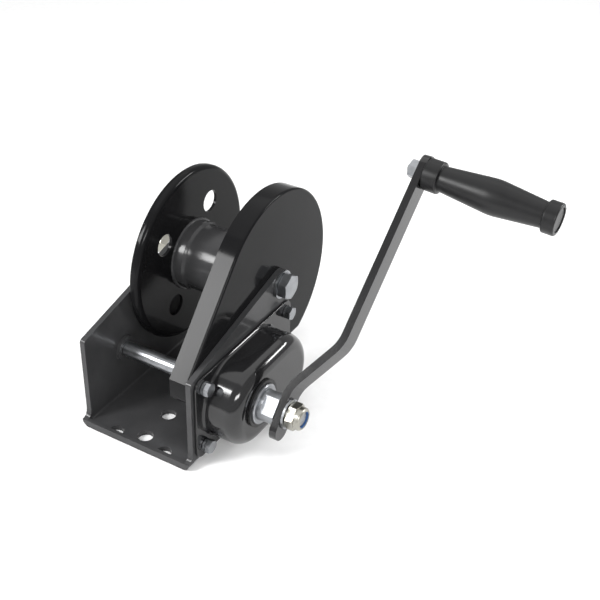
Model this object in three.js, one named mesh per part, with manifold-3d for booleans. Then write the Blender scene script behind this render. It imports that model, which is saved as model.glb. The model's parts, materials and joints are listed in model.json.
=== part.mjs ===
// A hand-cranked boat trailer winch with a self-acting brake, in millimetres.
// X runs along the drum's axle towards the crank, Y towards the rear and Z up.
// The origin is the middle of the frame's underside. The crank is drawn with its brake screwed tight.
import * as THREE from "three";
import { mergeVertices } from "three/addons/utils/BufferGeometryUtils.js";
import Module from "manifold-3d";

const wasm = await Module();
wasm.setup();

// ---- Driving dimensions -------------------------------------------------------------------------
const GAP = 0.3; // left between pieces that touch

// Frame: one sheet bent to a channel, with a hemmed front edge.
const FRAME_WIDTH = 103;
const FRAME_LENGTH = 145;
const SHEET = 4.5;
const BEND_RADIUS = 6;
const HEM_DEPTH = 3.4;
const HEM_RISE = 1.7;
const SIDE_SETBACK = 6; // the side plates' front edges stand behind the hem's front
const SIDE_FOOT = 8; // height over which a side plate's front edge flares out to the hem
const SIDE_FRONT_HEIGHT = 80;
const SIDE_CORNER = 3; // rounding where the front edge turns into the slope
const AXLE_HEIGHT = 98.5;
const AXLE_BOSS_RADIUS = 12.3;

// Base holes, for 12 mm bolts.
const BASE_HOLE_RADIUS = 6.3;
const BASE_HOLE_X = 1.8; // the middle row stands a little towards the crank
const BASE_HOLE_SPREAD = 23.2;
const FRONT_HOLE_SETBACK = 12;
const SECOND_HOLE_SETBACK = 42.5;
const REAR_HOLE_SETBACK = 18;

// Gears.
const GEAR_MODULE = 3;
const DRUM_TEETH = 48;
const PINION_TEETH = 16;
const GEAR_WIDTH = 8;
const GEAR_TO_GUARD = 3.2;
const SHAFT_HEIGHT = 46.5;
const BACKLASH = 0.5; // taken off each tooth's thickness, shared by its two flanks

// Drum.
const FLANGE_TO_SHAFT = 14.5; // between the left flange and the drive shaft
const FLANGE_SHEET = 2.5;
const FLANGE_TO_FRAME = 4.5;
const FLANGE_LIP = 8;
const FLANGE_LIP_RADIUS = 4;
const CORE_RADIUS = 28;
const CORE_WALL = 2.5;
const CORE_SWAGE = 1.5; // radius that the core gains at the left flange
const CORE_SWAGE_LENGTH = 9;
const ROPE_HOLE_RADIUS = 9.3;
const ROPE_HOLE_CIRCLE = 45.5;
const ROPE_HOLE_ANGLE = 54.8; // of the first of four, in degrees from the rear
const RIGHT_FLANGE_INSET = 5; // radius that the drum's right flange has less than the gear

// Axle.
const AXLE_RADIUS = 6;
const SLEEVE_RADIUS = 9;
const BUSH_WALL = 2.7;
const BUSH_LENGTH = 18;
const BUSH_COLLAR = 2.2;
const BUSH_COLLAR_RISE = 3;

// Gear guard.
const GUARD_SHEET = 2;
const GUARD_DEPTH = 16.7;
const GUARD_CLEARANCE = 0.8;
const GUARD_FRONT_SETBACK = 3.5; // from the side plate's front edge
const GUARD_CORNER_HEIGHT = 75;
const GUARD_FRONT_DROP = 15;
const GUARD_FOOT_SETBACK = 27; // from the drive shaft forwards to where the lower edge starts to rise
const GUARD_REAR_ANGLE = -60; // where the round rim ends, in degrees from the rear

// Brake cover.
const COVER_SHEET = 2;
const COVER_BULGE_RADIUS = 34.5;
const COVER_BULGE_REAR_SETBACK = 54; // from the frame's rear to the centre of its rear end
const COVER_BULGE_HEIGHT = 43.5;
const COVER_DEPTH = 31.6;
const COVER_RIM_RADIUS = 9;
const COVER_FLANGE_SETBACK = 3;
const COVER_FLANGE_BOTTOM = 5.5;
const COVER_FLANGE_TOP = 79.5;
const COVER_FLANGE_CORNER = 8;
const COVER_BOLT_REAR_INSET = 8.3;
const COVER_BOLT_FRONT_INSET = 10.5;
const COVER_BOLT_LEVEL_INSET = 9.3; // from the flange's upper and lower edges

// Drive shaft and brake.
const SHAFT_RADIUS = 6.5;
const SHAFT_THREAD_RADIUS = 6;
const SHAFT_BUSH_RADIUS = 9;
const SHAFT_BUSH_COLLAR = 2.6;
const DISC_RADIUS = 21;
const SHAFT_DISC_WIDTH = 4.5;
const FRICTION_WIDTH = 2.5;
const RATCHET_WIDTH = 6;
const RATCHET_TEETH = 12;
const RATCHET_ROOT_RADIUS = 22;
const RATCHET_TIP_RADIUS = 27;
const RATCHET_FACE_ANGLE = -16; // of the tooth that the pawl holds, in degrees from the rear
const PAWL_PIVOT_RADIUS = 36; // from the drive shaft
const PAWL_PIVOT_ANGLE = 30;
const PAWL_BOSS_RADIUS = 6.5;
const PAWL_PIN_RADIUS = 3;
const PAWL_INSET = 0.5; // the pawl is thinner than the ratchet wheel on each side
const PAWL_SPRING_WIRE = 1.2;
const PAWL_SPRING_WIDTH = 4.5;
const HUB_RADIUS = 12.5;
const HUB_FLAT = 10.2; // from the axis
const HUB_FLAT_LENGTH = 11;
const TANG_RADIUS = 8.6;
const TANG_FLAT = 7.4; // from the axis
const COLLAR_WALL = 3.6;
const COLLAR_PROUD = 4;
const COLLAR_SUNK = 4;
const SEAL_HEIGHT = 1.8;
const SEAL_WIDTH = 2.8;

// Crank.
const CRANK_ANGLE = 48.1; // of the arm, in degrees above the rear
const CRANK_RADIUS = 205.2;
const ARM_WIDTH = 18.6;
const ARM_SHEET = 6;
const ARM_END = 22; // beyond the shaft's axis
const ARM_TIP = 4; // from the grip's axis to the centre of the arm's round end
const ARM_HUB_GAP = 18; // between the cover's face and the arm
const JOGGLE_START = 19;
const JOGGLE_END = 62.5;
const JOGGLE = 26.6;
const BEND_TANGENT = 8; // from a bend's corner to where it starts
const ARM_FLARE = 3.5; // degrees that the upper limb leans outwards

// Grip, on its own bolt.
const GRIP_LENGTH = 106;
const GRIP_COLLAR_RADIUS = 12.5;
const GRIP_COLLAR_LENGTH = 12.5;
const GRIP_NECK_RADIUS = 10;
const GRIP_BELLY_RADIUS = 14;
const GRIP_BELLY_AT = 56;
const GRIP_BOLT_RADIUS = 4;
const GRIP_NUT_HEIGHT = 7;
const GRIP_POCKET_RADIUS = 9.3; // less the gap, for the plug
const GRIP_POCKET_DEPTH = 12;
const GRIP_PLUG_HEIGHT = 3.5;
const GRIP_HEAD_HEIGHT = 6;

// Hexagon hardware: width across flats.
const LARGE_HEX = 19;
const GRIP_HEX = 13;
const SMALL_HEX = 10;
const LARGE_NUT_HEIGHT = 12;
const LARGE_HEAD_HEIGHT = 7.5;
const LARGE_WASHER_RADIUS = 12;
const LARGE_WASHER_HEIGHT = 1.6;
const SMALL_BOLT_RADIUS = 3;
const SMALL_HEAD_HEIGHT = 4;
const SMALL_WASHER_HEIGHT = 2;
const GUARD_NUT_HEIGHT = 5;
const NUT_POCKET_DEPTH = 2.6; // holds a locking nut's nylon ring
const NUT_POCKET_WALL = 2;
const NUT_HEX_SHARE = 0.68; // of a locking nut's height
const BOLT_END = 1.5; // thread that stands out of the axle nut, and that the crank nut keeps inside
const SHAFT_END = 4; // of the drive shaft, beyond the left plate
const CLIP_WIDTH = 1.2;
const CLIP_RISE = 3.2;

// ---- Places that follow -------------------------------------------------------------------------
const degrees = THREE.MathUtils.degToRad;
const frontY = -FRAME_LENGTH / 2;
const rearY = FRAME_LENGTH / 2;
const sideFrontY = frontY + SIDE_SETBACK;
const plateOuter = FRAME_WIDTH / 2;
const plateInner = plateOuter - SHEET;
const axleY = rearY - AXLE_BOSS_RADIUS;
const gearDistance = (GEAR_MODULE * (DRUM_TEETH + PINION_TEETH)) / 2;
const shaftDrop = AXLE_HEIGHT - SHAFT_HEIGHT;
const shaftY = axleY - Math.sqrt(gearDistance ** 2 - shaftDrop ** 2);
const gearTipRadius = (GEAR_MODULE * (DRUM_TEETH + 2)) / 2;
const guardOuter = plateInner - GAP;
const guardInner = guardOuter - GUARD_SHEET;
const guardRadius = gearTipRadius + GUARD_CLEARANCE + GUARD_SHEET;
const guardFrontY = sideFrontY + GUARD_FRONT_SETBACK;
const gearRight = guardInner - GEAR_TO_GUARD;
const gearLeft = gearRight - GEAR_WIDTH;
const flangeRadius = gearDistance - SHAFT_RADIUS - FLANGE_TO_SHAFT;
const flangeLip = -plateInner + FLANGE_TO_FRAME;
const flangeFace = flangeLip + FLANGE_LIP;
const rightFlangeLeft = gearLeft - GAP - FLANGE_SHEET;
const sleeveLeft = -plateInner + GAP;
const sleeveRight = guardInner - GAP;
const bushRadius = SLEEVE_RADIUS + GAP + BUSH_WALL;
const coverLeft = plateOuter + GAP;
const coverFace = coverLeft + COVER_DEPTH;
const coverFrontY = sideFrontY + COVER_FLANGE_SETBACK;
const shaftDiscLeft = coverLeft + SHAFT_BUSH_COLLAR + 1.1;
const innerFrictionLeft = shaftDiscLeft + SHAFT_DISC_WIDTH + GAP;
const ratchetLeft = innerFrictionLeft + FRICTION_WIDTH + GAP;
const outerFrictionLeft = ratchetLeft + RATCHET_WIDTH + GAP;
const hubLeft = outerFrictionLeft + FRICTION_WIDTH + GAP;
const armLeft = coverFace + ARM_HUB_GAP;
const armRight = armLeft + ARM_SHEET;
const nutLeft = armRight + GAP + LARGE_WASHER_HEIGHT + GAP;
const shaftRight = nutLeft + LARGE_NUT_HEIGHT - BOLT_END;
const collarRadius = HUB_RADIUS + GAP + COLLAR_WALL;
const meshAngle = Math.atan2(-shaftDrop, shaftY - axleY); // from the drum's axis to the drive shaft's
const pawlPivotY = shaftY + PAWL_PIVOT_RADIUS * Math.cos(degrees(PAWL_PIVOT_ANGLE));
const pawlPivotZ = SHAFT_HEIGHT + PAWL_PIVOT_RADIUS * Math.sin(degrees(PAWL_PIVOT_ANGLE));
const flareTan = Math.tan(degrees(ARM_FLARE));
const armMiddle = armLeft + ARM_SHEET / 2;
const armUpper = armMiddle + JOGGLE; // the upper limb's middle where it leaves the joggle
const endMiddle = armUpper + (CRANK_RADIUS - JOGGLE_END) * flareTan;
const gripBore = GRIP_BOLT_RADIUS + GAP;

// ---- Building helpers ---------------------------------------------------------------------------
const X_AXIS = new THREE.Vector3(1, 0, 0);
const Y_AXIS = new THREE.Vector3(0, 1, 0);
const Z_AXIS = new THREE.Vector3(0, 0, 1);
const DOWN = new THREE.Vector3(0, 0, -1);
const outlineToYZ = new THREE.Matrix4().makeBasis(Y_AXIS, Z_AXIS, X_AXIS);
const latheToX = new THREE.Matrix4().makeBasis(Y_AXIS, X_AXIS, DOWN);

// An outline in Y and Z, extruded from x0 to x1.
function plate(outline, x0, x1, curveSegments = 8) {
  const settings = { depth: x1 - x0, bevelEnabled: false, curveSegments };
  const geometry = new THREE.ExtrudeGeometry(outline, settings);
  return geometry.applyMatrix4(outlineToYZ).translate(x0, 0, 0);
}

// A body of revolution about X. The profile is [x, radius] points, outer side first towards +X.
function turned(profile, segments = 24) {
  const points = profile.map(([x, radius]) => new THREE.Vector2(radius, x));
  return new THREE.LatheGeometry(points, segments).applyMatrix4(latheToX);
}

// A tube about X, or a rod when its bore is 0.
function tube(x0, x1, radius, bore = 0, segments = 24) {
  const profile = [
    [x0, bore],
    [x0, radius],
    [x1, radius],
    [x1, bore],
  ];
  if (bore > 0) profile.push([x0, bore]);
  return turned(profile, segments);
}

function box(x0, x1, y0, y1, z0, z1) {
  const geometry = new THREE.BoxGeometry(x1 - x0, y1 - y0, z1 - z0);
  return geometry.translate((x0 + x1) / 2, (y0 + y1) / 2, (z0 + z1) / 2);
}

function solid(geometry) {
  const bare = new THREE.BufferGeometry();
  bare.setAttribute("position", geometry.getAttribute("position"));
  bare.setIndex(geometry.index);
  const merged = mergeVertices(bare, 1e-4);
  const vertProperties = new Float32Array(merged.getAttribute("position").array);
  const triVerts = new Uint32Array(merged.index.array);
  return new wasm.Manifold(new wasm.Mesh({ numProp: 3, vertProperties, triVerts }));
}

function geometryOf(manifold) {
  const mesh = manifold.getMesh();
  const geometry = new THREE.BufferGeometry();
  geometry.setAttribute("position", new THREE.BufferAttribute(mesh.vertProperties, 3));
  geometry.setIndex(new THREE.BufferAttribute(mesh.triVerts, 1));
  return geometry;
}

function join(...geometries) {
  return geometryOf(geometries.map(solid).reduce((a, b) => a.add(b)));
}

function cut(geometry, ...tools) {
  return geometryOf(tools.map(solid).reduce((a, b) => a.subtract(b), solid(geometry)));
}

function common(a, b) {
  return geometryOf(solid(a).intersect(solid(b)));
}

// A hole or rod along X at a place in Y and Z.
function rodAt(y, z, x0, x1, radius, segments = 16) {
  return tube(x0, x1, radius, 0, segments).translate(0, y, z);
}

// Where the upper tangent from a point touches a circle, and the tangent's angle.
function upperTangent(from, centre, radius) {
  const across = centre.y - from.y;
  const up = centre.z - from.z;
  const angle = Math.atan2(up, across) + Math.asin(radius / Math.hypot(across, up));
  const y = centre.y - radius * Math.sin(angle);
  const z = centre.z + radius * Math.cos(angle);
  return { y, z, angle };
}

function hexagon(acrossFlats) {
  const corner = acrossFlats / Math.sqrt(3);
  const points = [];
  for (let side = 0; side < 6; side++) {
    const angle = degrees(60 * side + 30);
    points.push(new THREE.Vector2(corner * Math.cos(angle), corner * Math.sin(angle)));
  }
  return new THREE.Shape(points);
}

// A hexagon head or nut about X, with its corners chamfered towards both ends.
function hexBody(x0, x1, acrossFlats) {
  const corner = acrossFlats / Math.sqrt(3) + 0.05;
  const chamfer = acrossFlats * 0.06;
  const rounded = turned(
    [
      [x0, 0],
      [x0, corner - chamfer],
      [x0 + chamfer / 2, corner],
      [x1 - chamfer / 2, corner],
      [x1, corner - chamfer],
      [x1, 0],
    ],
    18,
  );
  return common(plate(hexagon(acrossFlats), x0, x1), rounded);
}

// A hexagon-head bolt about X: its head runs from x0 to x1 and its shank goes on to shankEnd.
function hexBolt(x0, x1, shankEnd, shankRadius, acrossFlats) {
  const from = Math.min(shankEnd, x0);
  const to = Math.max(shankEnd, x1);
  return join(hexBody(x0, x1, acrossFlats), tube(from, to, shankRadius, 0, 16));
}

// A stadium outline along Y: two half circles joined by straight sides.
function stadium(startY, endY, middleZ, radius) {
  const outline = new THREE.Shape();
  outline.absarc(endY, middleZ, radius, -Math.PI / 2, Math.PI / 2, false);
  outline.absarc(startY, middleZ, radius, Math.PI / 2, (3 * Math.PI) / 2, false);
  return outline;
}

function roundedRectangle(y0, y1, z0, z1, radius) {
  const outline = new THREE.Shape();
  outline.absarc(y1 - radius, z0 + radius, radius, -Math.PI / 2, 0, false);
  outline.absarc(y1 - radius, z1 - radius, radius, 0, Math.PI / 2, false);
  outline.absarc(y0 + radius, z1 - radius, radius, Math.PI / 2, Math.PI, false);
  outline.absarc(y0 + radius, z0 + radius, radius, Math.PI, (3 * Math.PI) / 2, false);
  return outline;
}

const FINISHES = {
  blackPaint: { color: 0x161617, roughness: 0.22, metalness: 0.0 },
  zinc: { color: 0xc9ccd0, roughness: 0.3, metalness: 1.0 },
  yellowZinc: { color: 0xcfc9b4, roughness: 0.32, metalness: 1.0 },
  steel: { color: 0x8c8e91, roughness: 0.4, metalness: 1.0 },
  bronze: { color: 0x9c7a4a, roughness: 0.45, metalness: 1.0 },
  rubber: { color: 0x1c1c1d, roughness: 0.6, metalness: 0.0 },
  friction: { color: 0x5a4a3c, roughness: 0.85, metalness: 0.0 },
  blueNylon: { color: 0x3d6fae, roughness: 0.5, metalness: 0.0 },
};

function piece(group, name, geometry, finish) {
  const mesh = new THREE.Mesh(geometry, new THREE.MeshStandardMaterial(FINISHES[finish]));
  mesh.name = name;
  group.add(mesh);
  return mesh;
}

// ---- Frame --------------------------------------------------------------------------------------
// The side plates' outline, which also trims the floor's two ends.
function sideOutline() {
  const corner = { y: sideFrontY, z: SIDE_FRONT_HEIGHT };
  const boss = { y: axleY, z: AXLE_HEIGHT };
  const touch = upperTangent(corner, boss, AXLE_BOSS_RADIUS);
  const hemTop = SHEET + HEM_RISE;
  const outline = new THREE.Shape();
  outline.moveTo(frontY, 0);
  outline.lineTo(rearY, 0);
  outline.lineTo(rearY, AXLE_HEIGHT);
  outline.absarc(boss.y, boss.z, AXLE_BOSS_RADIUS, 0, touch.angle + Math.PI / 2, false);
  outline.lineTo(corner.y + SIDE_CORNER, corner.z + SIDE_CORNER * Math.tan(touch.angle));
  outline.quadraticCurveTo(corner.y, corner.z, corner.y, corner.z - SIDE_CORNER);
  outline.lineTo(corner.y, hemTop + SIDE_FOOT);
  outline.quadraticCurveTo(sideFrontY, hemTop, frontY, hemTop);
  return outline;
}

// The channel's section across X, drawn from its outside: a slab with two rounded lower edges.
function channelBlank(halfWidth, bottom, radius) {
  const top = AXLE_HEIGHT + AXLE_BOSS_RADIUS + 1;
  const section = new THREE.Shape();
  section.absarc(halfWidth - radius, bottom + radius, radius, -Math.PI / 2, 0, false);
  section.lineTo(halfWidth, top);
  section.lineTo(-halfWidth, top);
  section.absarc(-halfWidth + radius, bottom + radius, radius, Math.PI, (3 * Math.PI) / 2, false);
  const length = FRAME_LENGTH + 2;
  const settings = { depth: length, bevelEnabled: false, curveSegments: 4 };
  const geometry = new THREE.ExtrudeGeometry(section, settings);
  return geometry.rotateX(Math.PI / 2).translate(0, length / 2, 0);
}

function baseHoles() {
  const through = (x, y, radius) =>
    new THREE.CylinderGeometry(radius, radius, 4 * SHEET, 20).rotateX(Math.PI / 2).translate(x, y, 0);
  const behindHem = frontY + HEM_DEPTH;
  const holes = [
    through(BASE_HOLE_X, frontY + FRONT_HOLE_SETBACK, BASE_HOLE_RADIUS),
    through(BASE_HOLE_X, frontY + SECOND_HOLE_SETBACK, BASE_HOLE_RADIUS),
    through(BASE_HOLE_X, rearY - REAR_HOLE_SETBACK, BASE_HOLE_RADIUS),
  ];
  for (const side of [-1, 1]) {
    const x = BASE_HOLE_X + side * BASE_HOLE_SPREAD;
    const round = through(x, behindHem + 1, BASE_HOLE_RADIUS);
    const floorOnly = box(x - 20, x + 20, behindHem, behindHem + 20, -3 * SHEET, 3 * SHEET);
    holes.push(common(round, floorOnly));
    holes.push(through(x, rearY - REAR_HOLE_SETBACK, BASE_HOLE_RADIUS));
  }
  return holes;
}

function frame() {
  const outer = channelBlank(plateOuter, 0, BEND_RADIUS);
  const inner = channelBlank(plateInner, SHEET, BEND_RADIUS - SHEET);
  const hemBar = box(-plateOuter, plateOuter, frontY, frontY + HEM_DEPTH, 0, SHEET + HEM_RISE);
  const folded = join(cut(outer, inner), common(hemBar, outer));
  const trimmed = common(folded, plate(sideOutline(), -plateOuter - 1, plateOuter + 1));
  const reach = plateOuter + 1;
  return cut(
    trimmed,
    ...baseHoles(),
    rodAt(axleY, AXLE_HEIGHT, -reach, reach, AXLE_RADIUS + GAP),
    rodAt(shaftY, SHAFT_HEIGHT, -reach, reach, SHAFT_BUSH_RADIUS + GAP, 20),
    rodAt(pawlPivotY, pawlPivotZ, 0, reach, PAWL_PIN_RADIUS + GAP, 12),
    ...coverBolts().map(([y, z]) => rodAt(y, z, 0, reach, SMALL_BOLT_RADIUS + GAP, 12)),
  );
}

// ---- Gear guard ---------------------------------------------------------------------------------
// The guard's outline, drawn inset by a distance. The inner one runs on past the open lower edge.
function guardOutline(inset, lowerZ) {
  const radius = guardRadius - inset;
  const centre = { y: axleY, z: AXLE_HEIGHT };
  const outerCorner = { y: guardFrontY, z: GUARD_CORNER_HEIGHT };
  const slope = upperTangent(outerCorner, centre, guardRadius).angle;
  const cornerDrop = inset * (1 / Math.cos(slope) - Math.tan(slope));
  const corner = { y: guardFrontY + inset, z: GUARD_CORNER_HEIGHT - cornerDrop };
  const touch = upperTangent(corner, centre, radius);
  const end = degrees(GUARD_REAR_ANGLE);
  const rear = centre.z + radius * Math.sin(end);
  const outline = new THREE.Shape();
  outline.moveTo(corner.y, inset > 0 ? lowerZ : GUARD_CORNER_HEIGHT - GUARD_FRONT_DROP);
  if (inset === 0) outline.lineTo(shaftY - GUARD_FOOT_SETBACK, rear);
  outline.lineTo(centre.y + radius * Math.cos(end), inset > 0 ? lowerZ : rear);
  outline.absarc(centre.y, centre.z, radius, end, touch.angle + Math.PI / 2, false);
  outline.lineTo(corner.y, corner.z);
  return outline;
}

function gearGuard() {
  const rimLeft = guardOuter - GUARD_DEPTH;
  const [frontTop] = coverBolts();
  return cut(
    plate(guardOutline(0), rimLeft, guardOuter, 26),
    plate(guardOutline(GUARD_SHEET, 0), rimLeft - 1, guardInner, 26),
    rodAt(axleY, AXLE_HEIGHT, guardInner - 1, guardOuter + 1, AXLE_RADIUS + GAP),
    rodAt(shaftY, SHAFT_HEIGHT, guardInner - 1, guardOuter + 1, SHAFT_BUSH_RADIUS + GAP, 20),
    rodAt(...frontTop, guardInner - 1, guardOuter + 1, SMALL_BOLT_RADIUS + GAP, 12),
  );
}

// ---- Brake cover and what holds it ----------------------------------------------------------------
// Places of the four cover bolts: front top, front bottom, rear top, rear bottom.
function coverBolts() {
  const places = [];
  for (const y of [coverFrontY + COVER_BOLT_FRONT_INSET, rearY - COVER_BOLT_REAR_INSET])
    for (const z of [COVER_FLANGE_TOP - COVER_BOLT_LEVEL_INSET, COVER_FLANGE_BOTTOM + COVER_BOLT_LEVEL_INSET])
      places.push([y, z]);
  return places;
}

// The cover's bulge with its rim rounded, drawn inset by a distance, from x0 up to the face.
function bulge(inset, x0) {
  const rim = COVER_RIM_RADIUS - inset;
  const face = coverFace - inset;
  const radius = COVER_BULGE_RADIUS - inset - rim;
  const outline = stadium(shaftY, rearY - COVER_BULGE_REAR_SETBACK, COVER_BULGE_HEIGHT, radius);
  const geometry = new THREE.ExtrudeGeometry(outline, {
    depth: face - x0,
    bevelThickness: rim,
    bevelSize: rim,
    bevelSegments: 3,
    curveSegments: 12,
  });
  return geometry.applyMatrix4(outlineToYZ).translate(x0 - rim, 0, 0);
}

function brakeCover() {
  const flangeRear = rearY - GAP;
  const flange = roundedRectangle(
    coverFrontY,
    flangeRear,
    COVER_FLANGE_BOTTOM,
    COVER_FLANGE_TOP,
    COVER_FLANGE_CORNER,
  );
  const keep = box(coverLeft, coverFace + 1, frontY, rearY, 0, AXLE_HEIGHT);
  const shell = join(plate(flange, coverLeft, coverLeft + COVER_SHEET, 4), common(bulge(0, coverLeft), keep));
  return cut(
    shell,
    bulge(COVER_SHEET, coverLeft - 2),
    rodAt(shaftY, SHAFT_HEIGHT, coverFace - 5, coverFace + 1, collarRadius + GAP, 24),
    ...coverBolts().map(([y, z]) => rodAt(y, z, coverLeft - 1, coverFace, SMALL_BOLT_RADIUS + GAP, 12)),
  );
}

function coverFasteners(group) {
  const names = ["front_top", "front_bottom", "rear_top", "rear_bottom"];
  const washerLeft = coverLeft + COVER_SHEET + GAP;
  const headLeft = washerLeft + SMALL_WASHER_HEIGHT + GAP;
  coverBolts().forEach(([y, z], index) => {
    const shankEnd = index === 0 ? guardInner - GAP - GUARD_NUT_HEIGHT - 2.7 : plateInner + GAP;
    const bolt = hexBolt(headLeft, headLeft + SMALL_HEAD_HEIGHT, shankEnd, SMALL_BOLT_RADIUS, SMALL_HEX);
    piece(group, `cover_bolt_${names[index]}`, bolt.translate(0, y, z), "zinc");
    const washer = tube(washerLeft, headLeft - GAP, SMALL_HEX * 0.55, SMALL_BOLT_RADIUS + GAP, 14);
    piece(group, `spring_washer_${names[index]}`, washer.translate(0, y, z), "zinc");
  });
  const [frontTop] = coverBolts();
  const nutRight = guardInner - GAP;
  const bore = rodAt(0, 0, nutRight - GUARD_NUT_HEIGHT - 1, nutRight + 1, SMALL_BOLT_RADIUS + GAP, 12);
  const nut = cut(hexBody(nutRight - GUARD_NUT_HEIGHT, nutRight, SMALL_HEX), bore);
  piece(group, "guard_nut", nut.translate(0, ...frontTop), "zinc");
}

// ---- Axle -----------------------------------------------------------------------------------------
// A locking nut about X: a hexagon with a round collar that holds a nylon ring.
function lockNut(hexAt, collarAt, acrossFlats, bore) {
  const low = Math.min(hexAt, collarAt);
  const high = Math.max(hexAt, collarAt);
  const towardsHigh = collarAt > hexAt;
  const hexHeight = (high - low) * NUT_HEX_SHARE;
  const hexLow = towardsHigh ? low : high - hexHeight;
  const collar = tube(low, high, acrossFlats / 2 - 0.6);
  const body = join(hexBody(hexLow, hexLow + hexHeight, acrossFlats), collar);
  const pocketAt = towardsHigh ? high - NUT_POCKET_DEPTH : low - 1;
  const pocketRadius = acrossFlats / 2 - NUT_POCKET_WALL;
  const pocket = tube(pocketAt, pocketAt + NUT_POCKET_DEPTH + 1, pocketRadius, 0, 20);
  return cut(body, tube(low - 1, high + 1, bore, 0, 16), pocket);
}

function axle(group) {
  const washerRight = plateOuter + GAP + LARGE_WASHER_HEIGHT;
  const headLeft = washerRight + GAP;
  const nutRight = -plateOuter - GAP - LARGE_WASHER_HEIGHT - GAP;
  const nutLeftEnd = nutRight - LARGE_NUT_HEIGHT;
  const headRight = headLeft + LARGE_HEAD_HEIGHT;
  const bolt = hexBolt(headLeft, headRight, nutLeftEnd - BOLT_END, AXLE_RADIUS, LARGE_HEX);
  piece(group, "axle_bolt", bolt, "zinc");
  const washer = () => tube(0, LARGE_WASHER_HEIGHT, LARGE_WASHER_RADIUS, AXLE_RADIUS + GAP);
  piece(group, "axle_washer_left", washer().translate(nutRight + GAP, 0, 0), "zinc");
  piece(group, "axle_washer_right", washer().translate(plateOuter + GAP, 0, 0), "zinc");
  piece(group, "axle_nut", lockNut(nutRight, nutLeftEnd, LARGE_HEX, AXLE_RADIUS + GAP), "yellowZinc");
  piece(group, "axle_sleeve", tube(sleeveLeft, sleeveRight, SLEEVE_RADIUS, AXLE_RADIUS + GAP), "steel");
}

// ---- Drum -----------------------------------------------------------------------------------------
function leftFlange() {
  const back = flangeFace - FLANGE_SHEET;
  const corner = FLANGE_LIP_RADIUS * (1 - Math.SQRT1_2);
  const bore = bushRadius + GAP;
  const profile = [
    [flangeFace, bore],
    [back, bore],
    [back, flangeRadius - FLANGE_LIP_RADIUS - 0.5],
    [back - 3, flangeRadius - FLANGE_SHEET],
    [flangeLip, flangeRadius - FLANGE_SHEET],
    [flangeLip, flangeRadius],
    [flangeFace - FLANGE_LIP_RADIUS, flangeRadius],
    [flangeFace - corner, flangeRadius - corner],
    [flangeFace, flangeRadius - FLANGE_LIP_RADIUS],
    [flangeFace, bore],
  ];
  const holes = [];
  for (let quarter = 0; quarter < 4; quarter++) {
    const angle = degrees(ROPE_HOLE_ANGLE + 90 * quarter);
    const y = ROPE_HOLE_CIRCLE * Math.cos(angle);
    const z = ROPE_HOLE_CIRCLE * Math.sin(angle);
    holes.push(rodAt(y, z, flangeLip, flangeFace + 1, ROPE_HOLE_RADIUS, 20));
  }
  return cut(turned(profile, 52), ...holes);
}

// The core is swaged wider where it meets the left flange.
function drumCore() {
  const left = flangeFace + GAP;
  const right = rightFlangeLeft - GAP;
  return turned(
    [
      [left, CORE_RADIUS - CORE_WALL],
      [left, CORE_RADIUS + CORE_SWAGE],
      [left + CORE_SWAGE_LENGTH, CORE_RADIUS + CORE_SWAGE],
      [left + CORE_SWAGE_LENGTH + CORE_SWAGE, CORE_RADIUS],
      [right, CORE_RADIUS],
      [right, CORE_RADIUS - CORE_WALL],
      [left, CORE_RADIUS - CORE_WALL],
    ],
    36,
  );
}

// A spur gear's outline with straight-sided teeth. A tooth stands at the start angle.
function gearOutline(teeth, startAngle) {
  const pitchRadius = (GEAR_MODULE * teeth) / 2;
  const tip = pitchRadius + GEAR_MODULE * 0.92;
  const root = pitchRadius - GEAR_MODULE * 1.2;
  const pitchAngle = (2 * Math.PI) / teeth;
  const slimming = BACKLASH / 2 / pitchRadius;
  const widths = [
    [root, pitchAngle * 0.38],
    [tip, pitchAngle * 0.13],
  ];
  const points = [];
  for (let tooth = 0; tooth < teeth; tooth++) {
    const middle = startAngle + tooth * pitchAngle;
    for (const [radius, half] of widths) {
      const angle = middle - half + slimming;
      points.push(new THREE.Vector2(radius * Math.cos(angle), radius * Math.sin(angle)));
    }
    for (const [radius, half] of [...widths].reverse()) {
      const angle = middle + half - slimming;
      points.push(new THREE.Vector2(radius * Math.cos(angle), radius * Math.sin(angle)));
    }
  }
  return new THREE.Shape(points);
}

function drumBush(x0, collarLeft) {
  const bore = SLEEVE_RADIUS + GAP;
  const sleeve = tube(x0, x0 + BUSH_LENGTH, bushRadius, bore);
  const collar = tube(collarLeft, collarLeft + BUSH_COLLAR, bushRadius + BUSH_COLLAR_RISE, bore);
  return join(sleeve, collar);
}

function drum(group) {
  const bore = bushRadius + GAP;
  const collarRoom = BUSH_COLLAR + GAP;
  const leftEnd = flangeFace - FLANGE_SHEET - collarRoom;
  const rightEnd = gearRight + collarRoom;
  piece(group, "drum_flange_left", leftFlange(), "blackPaint");
  piece(group, "drum_core", drumCore(), "blackPaint");
  const rightFlangeRadius = gearTipRadius - RIGHT_FLANGE_INSET;
  const rightFlange = tube(rightFlangeLeft, gearLeft - GAP, rightFlangeRadius, bore, 48);
  piece(group, "drum_flange_right", rightFlange, "blackPaint");
  const gear = plate(gearOutline(DRUM_TEETH, meshAngle), gearLeft, gearRight);
  const gearBore = tube(gearLeft - 1, gearRight + 1, bore);
  piece(group, "drum_gear", cut(gear, gearBore), "steel");
  piece(group, "drum_bush_left", drumBush(leftEnd, leftEnd), "bronze");
  piece(group, "drum_bush_right", drumBush(rightEnd - BUSH_LENGTH, rightEnd - BUSH_COLLAR), "bronze");
}

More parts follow.
